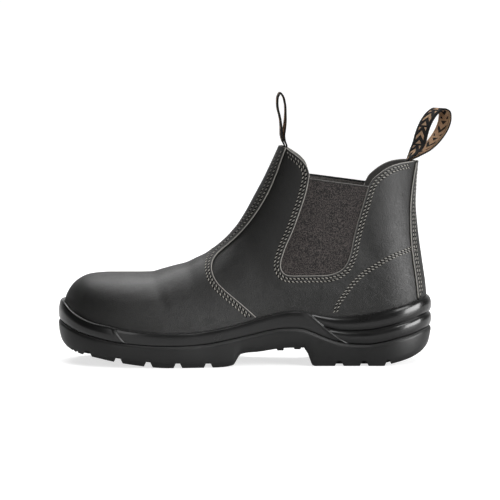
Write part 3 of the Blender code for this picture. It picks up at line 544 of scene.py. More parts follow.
def cast(tree, line, side):
    """Points and normals on a surface under a line seen from the side."""
    found = []
    for x, z in line:
        place, normal, _, _ = tree.ray_cast(Vector((x, side * 200.0, z)), Vector((0, -side, 0)))
        if place is None:
            place, normal, _, _ = tree.find_nearest(Vector((x, side * 4.0, z)))
        if normal.y * side < 0 and abs(normal.y) > 0.05:
            normal = -normal
        found.append((*place, *normal))
    found = np.array(found)
    return found[:, :3], found[:, 3:]


def skin_faces(sections, girth):
    """Triangles of the last surface, split alike on both sides."""
    faces = []
    for i in range(sections - 1):
        for j in range(girth - 1):
            a, b = i * girth + j, i * girth + j + 1
            if j < girth // 2:
                faces += [(a, a + girth, b + girth), (a, b + girth, b)]
            else:
                faces += [(a, a + girth, b), (b, a + girth, b + girth)]
    return faces


# Meshes

def raw_mesh(name, points, faces, finish=None):
    """A mesh in metres from points in millimetres, with the finish of each face."""
    mesh = bpy.data.meshes.new(name)
    mesh.from_pydata((np.asarray(points) * MM).tolist(), [], faces)
    if finish is not None:
        mesh.polygons.foreach_set("material_index", np.asarray(finish, np.int32))
    return mesh


def face_outward(mesh, join=False):
    """Turns the faces of a mesh outward, and joins its coincident points first where asked."""
    shape = bmesh.new()
    shape.from_mesh(mesh)
    if join:
        bmesh.ops.remove_doubles(shape, verts=shape.verts, dist=1e-6)
        bmesh.ops.dissolve_degenerate(shape, dist=1e-7, edges=shape.edges)
    bmesh.ops.recalc_face_normals(shape, faces=shape.faces)
    shape.to_mesh(mesh)
    shape.free()
    return mesh


def closed_mesh(name, points, faces, finish=None):
    """A mesh in metres whose coincident points are joined and whose faces point out."""
    return face_outward(raw_mesh(name, points, faces, finish), join=True)


def loft(name, rings, finish=0):
    """A solid through rings of equal count, closed at both ends by rungs from side to side."""
    count = len(rings[0])
    points = np.concatenate(rings)
    faces = []
    for r in range(len(rings) - 1):
        for i in range(count):
            j = (i + 1) % count
            a, b = r * count, (r + 1) * count
            faces.append((a + i, a + j, b + j, b + i))
    for base in (0, (len(rings) - 1) * count):
        for i in range(count // 2):
            across = [i, i + 1, (count - i - 1) % count, (count - i) % count]
            faces.append(list(dict.fromkeys(base + k for k in across)))
    return closed_mesh(name, points, faces, [finish] * len(faces))


def shell(name, depths):
    """A closed sheet between two depths: finish 0 outside, 1 inside and 2 on its edges."""
    outside, inside = Skin.at(depths[0]), Skin.at(depths[1])
    sections, girth = outside.shape[:2]
    points = np.concatenate([outside.reshape(-1, 3), inside.reshape(-1, 3)])
    shift = sections * girth
    skin = skin_faces(sections, girth)
    foot = [(i * girth + j, (i + 1) * girth + j) for j in (0, girth - 1) for i in range(Skin.seam)]
    top = [(i, i + 1) for i in range(shift - girth, shift - 1)]
    faces = skin + [tuple(shift + i for i in reversed(face)) for face in skin]
    faces += [(a, b, shift + b, shift + a) for a, b in foot + top]
    finish = [0] * len(skin) + [1] * len(skin) + [2] * (len(foot) + len(top))
    return closed_mesh(name, points, faces, finish)


def foot_room(depth):
    """The last as a solid, smaller by depth and let down into the board by the usual gap."""
    grid = Skin.at(depth)
    seam = Skin.seam
    grid[:seam + 1, (0, -1), 2] -= GAP
    grid[0, 1:-1, 2] -= GAP
    sections, girth = grid.shape[:2]
    faces = skin_faces(sections, girth)
    for i in range(seam):
        near, far = i * girth, i * girth + girth - 1
        faces.append((near, near + girth, far + girth, far))
    last = (sections - 1) * girth
    for j in range(girth // 2):
        rung = (last + j, last + j + 1, last + girth - 2 - j, last + girth - 1 - j)
        faces.append(tuple(dict.fromkeys(rung)))
    return closed_mesh("foot_room", grid.reshape(-1, 3), faces)


def plate(name, points, near, far, finish=2):
    """A flat outline seen from the side, as a solid from y near to y far."""
    flat = bmesh.new()
    edge = [flat.verts.new((x * MM, near * MM, z * MM)) for x, z in points]
    flat.faces.new(edge)
    bmesh.ops.triangulate(flat, faces=flat.faces[:])
    pushed = bmesh.ops.extrude_face_region(flat, geom=flat.faces[:])["geom"]
    moved = [v for v in pushed if isinstance(v, bmesh.types.BMVert)]
    bmesh.ops.translate(flat, verts=moved, vec=(0, (far - near) * MM, 0))
    bmesh.ops.recalc_face_normals(flat, faces=flat.faces)
    for face in flat.faces:
        face.material_index = finish
    mesh = bpy.data.meshes.new(name)
    flat.to_mesh(mesh)
    flat.free()
    return mesh


def new_piece(name, mesh, *finishes):
    """Links a mesh as a piece with its materials."""
    thing = bpy.data.objects.new(name, mesh)
    bpy.context.scene.collection.objects.link(thing)
    for finish in finishes:
        mesh.materials.append(bpy.data.materials[finish])
    return thing


def cut(thing, mesh, operation):
    """Cuts or intersects a piece with a solid, and keeps the result as its mesh."""
    cutter = bpy.data.objects.new(mesh.name, mesh)
    bpy.context.scene.collection.objects.link(cutter)
    for material in thing.data.materials:
        mesh.materials.append(material)
    modifier = thing.modifiers.new(operation.lower(), "BOOLEAN")
    modifier.operation = operation
    modifier.object = cutter
    modifier.solver = "EXACT"
    bpy.context.view_layer.update()
    result = thing.evaluated_get(bpy.context.evaluated_depsgraph_get())
    made = bpy.data.meshes.new_from_object(result)
    if not made.polygons:
        raise RuntimeError(f"{thing.name}: {operation} with {mesh.name} left nothing")
    thing.modifiers.clear()
    thing.data = made
    bpy.data.objects.remove(cutter)
    bpy.data.meshes.remove(mesh)


def finish_shading(thing, degrees=38.0):
    thing.data.shade_smooth()
    thing.data.set_sharp_from_angle(angle=math.radians(degrees))


def declare(thing, slot, *nodes):
    """Rides a piece on the boot and hides the nodes that it stands for; the finish's slot is not used.
    """
    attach(thing, "root")
    if nodes:
        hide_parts(*nodes)
    return thing


def sweep(centres, outs, acrosses, profile):
    """Points and faces of a profile swept along a line: profile rows are (across, out)."""
    count = len(profile)
    points = (centres[:, None, :] + acrosses[:, None, :] * profile[None, :, :1]
              + outs[:, None, :] * profile[None, :, 1:])
    faces = []
    for r in range(len(centres) - 1):
        for i in range(count):
            j = (i + 1) % count
            a, b = r * count, (r + 1) * count
            faces.append((a + i, b + i, b + j, a + j))
    last = (len(centres) - 1) * count
    faces.append(tuple(range(count)))
    faces.append(tuple(last + i for i in reversed(range(count))))
    return points.reshape(-1, 3), faces


def unit(vectors):
    return vectors / np.maximum(np.linalg.norm(vectors, axis=-1, keepdims=True), 1e-9)


def round_profile(sides, radius):
    """Points round a circle, for a bead."""
    turn = np.linspace(0, 2 * math.pi, sides, endpoint=False)
    return np.stack([np.cos(turn), np.sin(turn)], axis=1) * radius


class Gather:
    """Collects swept and stamped shapes into one mesh."""

    def __init__(self):
        self.points, self.faces, self.finish, self.count = [], [], [], 0

    def add(self, points, faces, finish=0):
        self.points.append(points)
        self.faces += [tuple(self.count + i for i in face) for face in faces]
        self.finish += [finish] * len(faces)
        self.count += len(points)

    def mesh(self, name):
        mesh = face_outward(raw_mesh(name, np.concatenate(self.points), self.faces, self.finish))
        mesh.shade_smooth()
        return mesh


def round_edge(gather, skin, line, side, radius):
    """A rounded leather edge: a bead along a line seen from the side, level with the surface."""
    points, normals = skin.from_side(line, side)
    centres = points - normals * radius
    tangent = unit(np.gradient(centres, axis=0))
    across = unit(np.cross(tangent, normals))
    out = unit(np.cross(across, tangent))
    gather.add(*sweep(centres, out, across, round_profile(10, radius)))


# Stitching

def capsule():
    """A stitch of length, width and height 1: rings of points along x, and its faces."""
    along = np.array([-0.5, -0.46, -0.36, -0.14, 0.14, 0.36, 0.46, 0.5])
    size = np.array([0.0, 0.42, 0.8, 1.0, 1.0, 0.8, 0.42, 0.0]) / 2
    rings = [np.column_stack([np.full(8, a), round_profile(8, s)]) for a, s in zip(along, size)]
    faces = []
    for r in range(len(rings) - 1):
        for i in range(8):
            j = (i + 1) % 8
            faces.append((r * 8 + i, r * 8 + j, r * 8 + 8 + j, r * 8 + 8 + i))
    return np.concatenate(rings), faces


def stitch_row(gather, tree, line, side, looks, start):
    """Stitches, and dark discs of painted shade at the needle holes, along a line seen from the side,
    at an even pitch on the leather.
    """
    points, _ = cast(tree, line, side)
    run = np.append(0, np.cumsum(np.linalg.norm(np.diff(points, axis=0), axis=1)))
    pitch = looks.stitch_pitch / MM
    at = np.arange(start * pitch + pitch / 2, run[-1] - pitch / 3, pitch)
    centres, before, after = (np.stack([np.interp(at + shift, run, axis) for axis in points.T], axis=1)
                              for shift in (0, -pitch / 2, pitch / 2))
    shape, faces = capsule()
    turn = math.radians(STITCH_SLANT) * side
    size = np.array([looks.stitch_length, looks.stitch_width, looks.stitch_width * 0.75]) / MM
    lift = looks.stitch_width * 0.12 / MM
    hole = round_profile(8, 1.0) * HOLE_RADII
    for centre, a, b in zip(centres, before, after):
        place, normal, _, _ = tree.find_nearest(Vector(centre))
        place, normal = np.array(place), np.array(normal)
        if np.dot(normal, (0, side, 0)) < -0.3:
            normal = -normal
        tangent = b - a
        tangent = unit(tangent - normal * np.dot(tangent, normal))
        across = np.cross(normal, tangent)
        along = tangent * math.cos(turn) + across * math.sin(turn)
        beside_it = np.cross(normal, along)
        frame = np.stack([along, beside_it, normal])
        gather.add((shape * size) @ frame + place + normal * lift, faces, 0)
        # A dark disc of painted shade stands in for the needle hole between stitches.
        under = np.array(tree.find_nearest(Vector(place + tangent * pitch / 2))[0]) + normal * HOLE_LIFT
        gather.add(under + hole @ frame[:2], [tuple(range(len(hole)))], 1)


# Materials

def feed(tree, sockets, inputs):
    """Links or sets input sockets, by name or number."""
    for name, value in inputs.items():
        if isinstance(value, bpy.types.NodeSocket):
            tree.links.new(value, sockets[name])
        else:
            sockets[name].default_value = value


def add_node(tree, kind, inputs=None, **settings):
    node = tree.nodes.new(kind)
    for name, value in settings.items():
        setattr(node, name, value)
    feed(tree, node.inputs, inputs or {})
    return node


def maths(tree, operation, *values):
    return add_node(tree, "ShaderNodeMath", dict(enumerate(values)), operation=operation).outputs[0]


def mix_colour(tree, factor, a, b):
    return add_node(tree, "ShaderNodeMix", {0: factor, 6: a, 7: b}, data_type="RGBA").outputs[2]


def vector_maths(tree, operation, a, b):
    return add_node(tree, "ShaderNodeVectorMath", {0: a, 1: b}, operation=operation).outputs[0]


def split_place(tree, place):
    """The x, y and z of a place."""
    return add_node(tree, "ShaderNodeSeparateXYZ", {0: place}).outputs


def noise(tree, place, scale, **settings):
    inputs = {label.replace("_", " "): value for label, value in settings.items()}
    return add_node(tree, "ShaderNodeTexNoise", {"Vector": place, "Scale": scale, **inputs})


def remap(tree, value, **limits):
    """A value moved from one span to another; limits such as From_Min name the ends."""
    inputs = {label.replace("_", " "): end for label, end in limits.items()}
    return add_node(tree, "ShaderNodeMapRange", {"Value": value, **inputs})


def start_group(name, inputs, outputs):
    """A shader node group: inputs are (name, default), None for a place, and outputs are values."""
    tree = bpy.data.node_groups.new(name, "ShaderNodeTree")
    for label, default in inputs:
        kind = "NodeSocketVector" if default is None else "NodeSocketFloat"
        socket = tree.interface.new_socket(label, in_out="INPUT", socket_type=kind)
        if default is not None:
            socket.default_value = default
    for label in outputs:
        tree.interface.new_socket(label, in_out="OUTPUT", socket_type="NodeSocketFloat")
    return tree, tree.nodes.new("NodeGroupInput").outputs, tree.nodes.new("NodeGroupOutput").inputs


def build_grain_group():
    """Leather grain: fine pebbled cells with wandering size, and a broad mottle."""
    tree, given, out = start_group(
        "leather_grain", (("Cell", 0.001), ("Depth", 1.0), ("Place", None)),
        ("Height", "Mottle", "Pores"))
    scale = maths(tree, "DIVIDE", 1.0, given["Cell"])
    bend = noise(tree, given["Place"], 90.0, Detail=2.0).outputs["Color"]
    place = vector_maths(tree, "MULTIPLY", bend, (0.004, 0.004, 0.004))
    place = vector_maths(tree, "ADD", place, given["Place"])
    cells = add_node(tree, "ShaderNodeTexVoronoi", {"Vector": place, "Scale": scale, "Randomness": 0.9},
                     feature="DISTANCE_TO_EDGE")
    pebble = remap(tree, cells.outputs["Distance"], From_Max=0.22)
    pebble.interpolation_type = "SMOOTHSTEP"
    fine = noise(tree, place, maths(tree, "MULTIPLY", scale, 2.2), Detail=3.0, Roughness=0.6)
    mixed = maths(tree, "MULTIPLY_ADD", fine.outputs[0], 0.6, pebble.outputs[0])
    broad = noise(tree, given["Place"], 22.0, Detail=4.0, Roughness=0.55)
    feed(tree, out, {"Height": maths(tree, "MULTIPLY", mixed, given["Depth"]),
                     "Mottle": broad.outputs[0], "Pores": pebble.outputs[0]})


def build_mottle_group():
    """Uneven sheen: a soft broad value and a fine one, for rubber, cloth and thread."""
    tree, given, out = start_group(
        "soft_mottle", (("Broad", 30.0), ("Fine", 900.0), ("Place", None)), ("Value", "Height"))
    broad = noise(tree, given["Place"], given["Broad"], Detail=3.0)
    fine = noise(tree, given["Place"], given["Fine"], Detail=2.0)
    feed(tree, out, {"Value": broad.outputs[0], "Height": fine.outputs[0]})


def build_weave_group():
    """A plain weave: threads that pass over and under each other in a chequer."""
    tree, given, out = start_group(
        "fine_weave", (("Across", 0.0), ("Along", 0.0), ("Thread", 0.5)), ("Height",))
    u = maths(tree, "DIVIDE", given["Across"], given["Thread"])
    v = maths(tree, "DIVIDE", given["Along"], given["Thread"])
    odd = maths(tree, "ADD", maths(tree, "FLOOR", u), maths(tree, "FLOOR", v))
    over = maths(tree, "MODULO", maths(tree, "ABSOLUTE", odd), 2.0)
    under = maths(tree, "SUBTRACT", 1.0, over)
    humps = [maths(tree, "ABSOLUTE", maths(tree, "SINE", maths(tree, "MULTIPLY", t, math.pi)))
             for t in (u, v)]
    feed(tree, out, {"Height": maths(tree, "ADD", maths(tree, "MULTIPLY", humps[0], over),
                                     maths(tree, "MULTIPLY", humps[1], under))})


def place_group(tree, name, **inputs):
    return add_node(tree, "ShaderNodeGroup", inputs, node_tree=bpy.data.node_groups[name]).outputs


def start_material(name, **constants):
    """A material with its shader's constant values, and the place on the boot in metres."""
    material = bpy.data.materials.new(name)
    material.use_nodes = True
    tree = material.node_tree
    shader = tree.nodes["Principled BSDF"]
    for label, value in constants.items():
        shader.inputs[label.replace("_", " ")].default_value = value
    place = tree.nodes.new("ShaderNodeTexCoord").outputs["Object"]
    return tree, shader, place


def set_bump(tree, shader, high, distance):
    bump = add_node(tree, "ShaderNodeBump", {"Height": high, "Distance": distance})
    tree.links.new(bump.outputs[0], shader.inputs["Normal"])


def rough_between(tree, shader, value, low, high):
    spread = remap(tree, value, From_Min=0.3, From_Max=0.7, To_Min=low, To_Max=high)
    tree.links.new(spread.outputs[0], shader.inputs["Roughness"])


def scaled(colour, factor):
    return (*(min(1.0, c * factor) for c in colour), 1.0)


def between_shades(tree, value, colour, dark, light):
    """A colour that wanders with a value from a darker to a lighter shade of itself."""
    return mix_colour(tree, value, scaled(colour, dark), scaled(colour, light))


def leather_material(name, colour, cell, low, high):
    """Full-grain leather: a fine pebble with darker pores, and a broad change of tone and gloss."""
    tree, shader, place = start_material(name, Specular_IOR_Level=0.5)
    grain = place_group(tree, "leather_grain", Cell=cell, Depth=1.0, Place=place)
    tone = between_shades(tree, grain["Mottle"], colour, 0.8, 1.2)
    tone = mix_colour(tree, grain["Pores"], scaled(colour, 0.6), tone)
    tree.links.new(tone, shader.inputs["Base Color"])
    rough_between(tree, shader, grain["Mottle"], low, high)
    set_bump(tree, shader, grain["Height"], 0.00007)


def rubber_material(name, colour, low, high, fine, distance, painted_highlight, coat):
    """Moulded rubber: its shoulders that face up are painted lighter, a painted highlight as if lit
    from above.
    """
    tree, shader, place = start_material(name, Specular_IOR_Level=0.45, Coat_Weight=coat,
                                         Coat_Roughness=0.12)
    mottle = place_group(tree, "soft_mottle", Broad=26.0, Fine=fine, Place=place)
    tone = between_shades(tree, mottle["Value"], colour, 0.8, 1.25)
    # Painted highlight: faces that point up are lightened as though light falls on them from above.
    facing = split_place(tree, tree.nodes.new("ShaderNodeNewGeometry").outputs["Normal"])
    upward = remap(tree, facing[2], From_Min=0.45, From_Max=0.95)
    tone = mix_colour(tree, upward.outputs[0], tone, scaled(colour, painted_highlight))
    tree.links.new(tone, shader.inputs["Base Color"])
    rough_between(tree, shader, mottle["Value"], low, high)
    set_bump(tree, shader, mottle["Height"], distance)


def elastic_material(name, colour, fleck, thread):
    """Woven elastic: upright ribs, heathered with lighter and browner threads."""
    tree, shader, place = start_material(name, Specular_IOR_Level=0.25, Sheen_Weight=0.15,
                                         Sheen_Roughness=0.5, Roughness=0.85)
    x, _, z = split_place(tree, place)
    lean = maths(tree, "MULTIPLY_ADD", z, -0.28, x)
    weave = place_group(tree, "fine_weave", Across=lean, Along=z, Thread=thread)
    mottle = place_group(tree, "soft_mottle", Broad=950.0, Fine=1500.0, Place=place)
    spots = remap(tree, mottle["Value"], From_Min=0.40, From_Max=0.62)
    tone = mix_colour(tree, spots.outputs[0], scaled(colour, 0.4), scaled(fleck, 1.0))
    tone = mix_colour(tree, weave["Height"], scaled(colour, 0.5), tone)
    tree.links.new(tone, shader.inputs["Base Color"])
    high = maths(tree, "MULTIPLY_ADD", mottle["Height"], 0.5, weave["Height"])
    set_bump(tree, shader, high, 0.0003)


def cloth_material(name, colour, thread):
    """Plain woven cloth, for the lining and the sock."""
    tree, shader, place = start_material(name, Specular_IOR_Level=0.2, Roughness=0.9)
    x, y, z = split_place(tree, place)
    along = maths(tree, "ADD", y, z)
    weave = place_group(tree, "fine_weave", Across=x, Along=along, Thread=thread)
    mottle = place_group(tree, "soft_mottle", Broad=40.0, Fine=1200.0, Place=place)
    tone = between_shades(tree, mottle["Value"], colour, 0.75, 1.2)
    tone = mix_colour(tree, weave["Height"], scaled(colour, 0.5), tone)
    tree.links.new(tone, shader.inputs["Base Color"])
    set_bump(tree, shader, weave["Height"], 0.0002)


def thread_material(name, colour):
    """Twisted sewing thread."""
    tree, shader, place = start_material(name, Specular_IOR_Level=0.4, Roughness=0.6)
    mottle = place_group(tree, "soft_mottle", Broad=300.0, Fine=2600.0, Place=place)
    tone = between_shades(tree, mottle["Value"], colour, 0.6, 1.15)
    tree.links.new(tone, shader.inputs["Base Color"])
    set_bump(tree, shader, mottle["Height"], 0.0001)


def hole_material(name):
    """Painted shade: a dark disc that stands in for the shadow inside a needle hole."""
    tree, shader, place = start_material(name, Specular_IOR_Level=0.1, Roughness=0.95)
    mottle = place_group(tree, "soft_mottle", Broad=500.0, Fine=2000.0, Place=place)
    tone = mix_colour(tree, mottle["Value"], (0.002, 0.002, 0.002, 1), (0.008, 0.007, 0.006, 1))
    tree.links.new(tone, shader.inputs["Base Color"])


def webbing_material(name, ground, motif, thread, flip):
    """Ribbed webbing with a woven row of chevrons and bars; its map holds millimetres of web."""
    tree, shader, place = start_material(name, Specular_IOR_Level=0.2, Roughness=0.72)
    web = split_place(tree, add_node(tree, "ShaderNodeUVMap", uv_map="web").outputs[0])
    across = maths(tree, "MULTIPLY", maths(tree, "SUBTRACT", web[0], 0.5), WEB_WIDTH)
    along = maths(tree, "MULTIPLY", web[1], 100.0)
    off = maths(tree, "ABSOLUTE", across)
    chevron = maths(tree, "MODULO", maths(tree, "MULTIPLY_ADD", off, 0.85, along), 8.0)
    arm = maths(tree, "LESS_THAN", chevron, 3.4)
    inside = maths(tree, "LESS_THAN", off, 5.6)
    bar = maths(tree, "LESS_THAN", maths(tree, "MODULO", along, 16.0), 14.2)
    mask = maths(tree, "MULTIPLY", maths(tree, "MULTIPLY", arm, inside), bar)
    if flip:
        stripe = maths(tree, "MULTIPLY", maths(tree, "GREATER_THAN", off, 6.6),
                       maths(tree, "LESS_THAN", off, 7.2))
        mask = maths(tree, "MAXIMUM", mask, stripe)
    weave = place_group(tree, "fine_weave", Across=across, Along=along, Thread=thread)
    mottle = place_group(tree, "soft_mottle", Broad=200.0, Fine=1500.0, Place=place)
    light = between_shades(tree, mottle["Value"], motif, 0.65, 1.25)
    dark = between_shades(tree, mottle["Value"], ground, 0.7, 1.3)
    tone = mix_colour(tree, mask, light, dark) if flip else mix_colour(tree, mask, dark, light)
    tone = mix_colour(tree, weave["Height"], scaled(ground, 0.6), tone)
    tree.links.new(tone, shader.inputs["Base Color"])
    set_bump(tree, shader, weave["Height"], 0.00022)


def floor_material(name, colour):
    """The floor: it glows to white for the camera alone, and only a little for the boot."""
    tree, shader, place = start_material(name, Specular_IOR_Level=0.2, Roughness=0.8)
    mottle = place_group(tree, "soft_mottle", Broad=1.2, Fine=300.0, Place=place)
    tone = between_shades(tree, mottle["Value"], colour, 0.99, 1.0)
    seen = tree.nodes.new("ShaderNodeLightPath").outputs["Is Camera Ray"]
    feed(tree, shader.inputs, {"Base Color": tone, "Emission Color": tone, "Emission Strength":
                               maths(tree, "MULTIPLY_ADD", seen, 1.15, 0.12)})


# Settings

def length_property(name, text, value, low, high):
    return bpy.props.FloatProperty(name=name, description=text, default=value, min=low, max=high,
                                   precision=5, subtype="DISTANCE", unit="LENGTH")


def colour_property(name, text, value):
    return bpy.props.FloatVectorProperty(name=name, description=text, default=value, size=3,
                                         min=0.0, max=1.0, subtype="COLOR")


class BootSizes(bpy.types.PropertyGroup):
    """Sizes of the details that the maker may change."""

    stitch_pitch: length_property(
        "Stitch pitch", "Distance from one stitch to the next", 0.0033, 0.0015, 0.008)
    stitch_length: length_property(
        "Stitch length", "Length of the thread that shows in one stitch", 0.0025, 0.001, 0.007)
    stitch_width: length_property(
        "Thread width", "Thickness of the sewing thread", 0.0006, 0.0003, 0.002)
    first_row: length_property(
        "First row", "Distance from a leather edge to the first row of stitches", 0.0026, 0.001, 0.01)
    row_gap: length_property(
        "Row gap", "Distance between the two rows of a twin seam", 0.0025, 0.001, 0.01)
    edge_radius: length_property(
        "Edge radius", "Radius of the rounded cut edge of the leather", 0.0006, 0.0002, 0.0011)
    grain_cell: length_property(
        "Grain cell", "Size of one pebble of the leather grain", 0.0009, 0.0003, 0.004)
    elastic_thread: length_property(
        "Elastic thread", "Width of one rib of the woven elastic", 0.0008, 0.0003, 0.003)
    crease_scale: bpy.props.FloatProperty(
        name="Crease depth", description="Scale of the soft creases in the leather",
        default=1.0, min=0.0, max=3.0, subtype="FACTOR")


class BootColours(bpy.types.PropertyGroup):
    """Colours of the boot's finishes."""

    leather: colour_property("Leather", "Full-grain leather", (0.0050, 0.0048, 0.0043))
    cut_edge: colour_property("Cut edge", "Raw edge of the leather", (0.24, 0.23, 0.21))
    lining: colour_property("Lining", "Cloth lining inside the boot", (0.13, 0.127, 0.122))
    thread: colour_property("Thread", "Sewing thread", (0.34, 0.325, 0.29))
    elastic: colour_property("Elastic", "Dark threads of the gore", (0.008, 0.0068, 0.0068))
    elastic_fleck: colour_property("Elastic fleck", "Light threads of the gore", (0.080, 0.066, 0.062))
    hem: colour_property("Hem", "Folded hem on top of the gore", (0.006, 0.0055, 0.0055))
    # A light grey: a painted highlight on the hem's bead, and painted light on the gore's inner face.
    hem_edge: colour_property("Hem edge", "Piped edge on top of the hem", (0.16, 0.15, 0.14))
    webbing: colour_property("Webbing", "Ground of the pull loops", (0.0045, 0.004, 0.004))
    motif: colour_property("Motif", "Woven motif of the pull loops", (0.84, 0.52, 0.31))
    cushion: colour_property("Midsole", "Glossy moulded cushion layer", (0.0022, 0.0022, 0.0022))
    tread: colour_property("Outsole", "Satin rubber tread", (0.0036, 0.0036, 0.0036))
    insole: colour_property("Insole", "Cloth of the loose insole", (0.050, 0.050, 0.052))
    floor: colour_property("Floor", "Pale studio floor", (0.55, 0.55, 0.55))


def sizes():
    return bpy.context.scene.boot_sizes


def colours():
    return bpy.context.scene.boot_colours


# Operators

def upper_skin_tree():
    """The finished leather as one surface, for the stitches."""
    points, faces, shift = [], [], 0
    for name in ("leather_upper", "leather_vamp", "leather_back_stay"):
        mesh = bpy.data.objects[name].data
        co = np.empty(len(mesh.vertices) * 3)
        mesh.vertices.foreach_get("co", co)
        points.append(co.reshape(-1, 3) / MM)
        faces += [tuple(shift + i for i in p.vertices) for p in mesh.polygons]
        shift += len(mesh.vertices)
    return BVHTree.FromPolygons(np.concatenate(points).tolist(), faces)


def above_collar(drop):
    """Everything above the collar, lowered by a drop, as a solid to cut with."""
    collar = np.concatenate([path(COLLAR_FRONT), path(COLLAR_BACK)]) - (0, drop)
    points = [*collar, (CUT_BEHIND, COLLAR_BACK[-1][1] - drop), (CUT_BEHIND, CUT_ABOVE),
              (CUT_AHEAD, CUT_ABOVE), (CUT_AHEAD, COLLAR_FRONT[0][1] - drop)]
    return plate("above_collar", points, -80, 80)


def gore_edge():
    """The gore's edge from its top front round to its top back."""
    return np.concatenate([path(GORE_FRONT), path(GORE_BACK)])


def gore_window(outward, near, far):
    """The gore's outline, moved outward and past the collar, as a solid to cut with."""
    edge = beside(gore_edge(), outward)
    points = [edge[0] + (0.0, 14.0), *edge, edge[-1] + (0.0, 14.0)]
    return plate("gore_window", points, near, far)


def quarter_edge():
    """The edge of the quarters in three lines: front collar, gore, back collar."""
    return path(COLLAR_FRONT), gore_edge()[1:-1], path(COLLAR_BACK)


def sole_stations(count, extra, apart):
    """Stations from heel to toe, dense at both ends, with extra ones and none too close to those."""
    turn = np.linspace(0, math.pi, count)
    even = (TOE_X + HEEL_X) / 2 + (HEEL_X - TOE_X) / 2 * np.cos(turn)
    keep = [x for x in even if np.abs(x - extra).min() > apart]
    return np.array(sorted([*keep, *extra], reverse=True))


def cushion_foot():
    """Stations along the sole at the foot of the cushion layer, dense at its ends and features."""
    near = [np.arange(-4.5, 4.6, 0.75) + place for place in (BUMPER_END, RIDGE_FOOT)]
    return sole_stations(130, np.concatenate(near), 0.7)


def interface(x):
    """Height of the joint between tread and cushion away from the edge."""
    return np.minimum(height(TREAD_TOP, x), height(FLOOR, x) - BOARD)


def cushion_ring(share, foot):
    """The loop round the side of the cushion layer at a share of its height."""
    rim = smooth(LEAN["foot"], LEAN["rim"], foot)
    bumper, band, ribs = (float(smooth(SIDE["height"], SIDE[name], share))
                          for name in ("bumper", "band", "ribs"))
    recess = RIB_RECESS * np.clip(1 - (foot - RIDGE_FOOT) / RECESS_REACH, 0, 1)
    to_band = ease(foot, BUMPER_END - 0.4, BUMPER_END + 1.6)
    to_ribs = ease(foot, RIDGE_FOOT - 1.6, RIDGE_FOOT + 0.8)
    inset = bumper + (band - bumper) * to_band
    lip = 0.75 * np.exp(-((foot - RIDGE_FOOT + 3.0) / 2.2) ** 2)
    lip = lip * ease(share, 0.0, 0.1) * ease(1 - share, 0.0, 0.1)
    inset = inset - lip + (ribs + recess - inset + lip) * to_ribs
    crest = 0.35 * np.exp(-((foot - BUMPER_END + 1.0) / 1.4) ** 2)
    inset = inset - crest * ease(share, 0.0, 0.15) * ease(1 - share, 0.0, 0.2)

    def rise(x):
        return (height(TREAD_TOP, x) + GAP) * (1 - share) + height(RIM_TOP, x) * share

    return ring(foot + (rim - foot) * share ** LEAN_CURVE, inset, rise)


def above_rim(first, last):
    """Points just above the rim of the cushion layer, from x first to x last."""
    rim = cushion_ring(1.0, cushion_foot())
    x = rim[:len(rim) // 2 + 1, 0]
    between = sorted({first, last, *x[(x > min(first, last)) & (x < max(first, last))]})
    order = between if first < last else between[::-1]
    return [(a, float(np.interp(a, x[::-1], rim[len(x) - 1::-1, 2])) + 0.15) for a in order]


class BOOT_OT_finishes(bpy.types.Operator):
    """Makes the materials of the boot and its stage"""

    bl_idname = "boot.finishes"
    bl_label = "Make Finishes"

    def execute(self, context):
        tones, size = colours(), sizes()
        build_grain_group()
        build_mottle_group()
        build_weave_group()
        leather_material("black_leather", tones.leather, size.grain_cell, low=0.40, high=0.50)
        leather_material("cut_edge", tones.cut_edge, size.grain_cell * 0.6, low=0.50, high=0.65)
        cloth_material("lining", tones.lining, thread=0.0012)
        thread_material("thread", tones.thread)
        hole_material("needle_hole")
        elastic_material("gore_elastic", tones.elastic, tones.elastic_fleck, size.elastic_thread)
        # Painted light: the gore's inner face gets a light grey copy of the elastic, as if lit from
        # above.
        elastic_material("gore_inside", tones.hem_edge, tones.hem_edge, size.elastic_thread)
        elastic_material("gore_hem", tones.hem, tones.hem, size.elastic_thread * 0.6)
        # The hem's bead is painted light grey, a painted highlight along its ridge.
        elastic_material("hem_edge", tones.hem_edge, tones.hem_edge, size.elastic_thread * 0.6)
        webbing_material("loop_webbing", tones.webbing, tones.motif, thread=0.55, flip=False)
        webbing_material("loop_webbing_inside", tones.webbing, tones.motif, thread=0.55, flip=True)
        # Both rubbers carry a painted highlight on the shoulders that face up.
        rubber_material("glossy_rubber", tones.cushion, low=0.25, high=0.36, fine=1200.0,
                        distance=0.00002, painted_highlight=9.0, coat=0.35)
        rubber_material("satin_rubber", tones.tread, low=0.36, high=0.50, fine=1400.0,
                        distance=0.00005, painted_highlight=12.0, coat=0.0)
        cloth_material("sock_cloth", tones.insole, thread=0.0010)
        floor_material("studio_floor", tones.floor)
        return {"FINISHED"}


class BOOT_OT_upper(bpy.types.Operator):
    """Builds the leather wall with its collar and gore openings"""

    bl_idname = "boot.upper"
    bl_label = "Build Upper"

    def execute(self, context):
        radius = sizes().edge_radius / MM
        upper = new_piece("leather_upper", shell("leather_upper", WALL),
                          "black_leather", "lining", "cut_edge")
        cut(upper, above_collar(radius), "DIFFERENCE")
        cut(upper, gore_window(radius, -80, 80), "DIFFERENCE")
        middle = middle_y(FRONT_LOOP["x"][0])
        reach = WEB_WIDTH / 2 + GAP
        cut(upper, plate("loop_pocket", LOOP_POCKET, middle - reach, middle + reach, 1), "DIFFERENCE")
        finish_shading(upper)
        declare(upper, "leather", "upper")
        return {"FINISHED"}


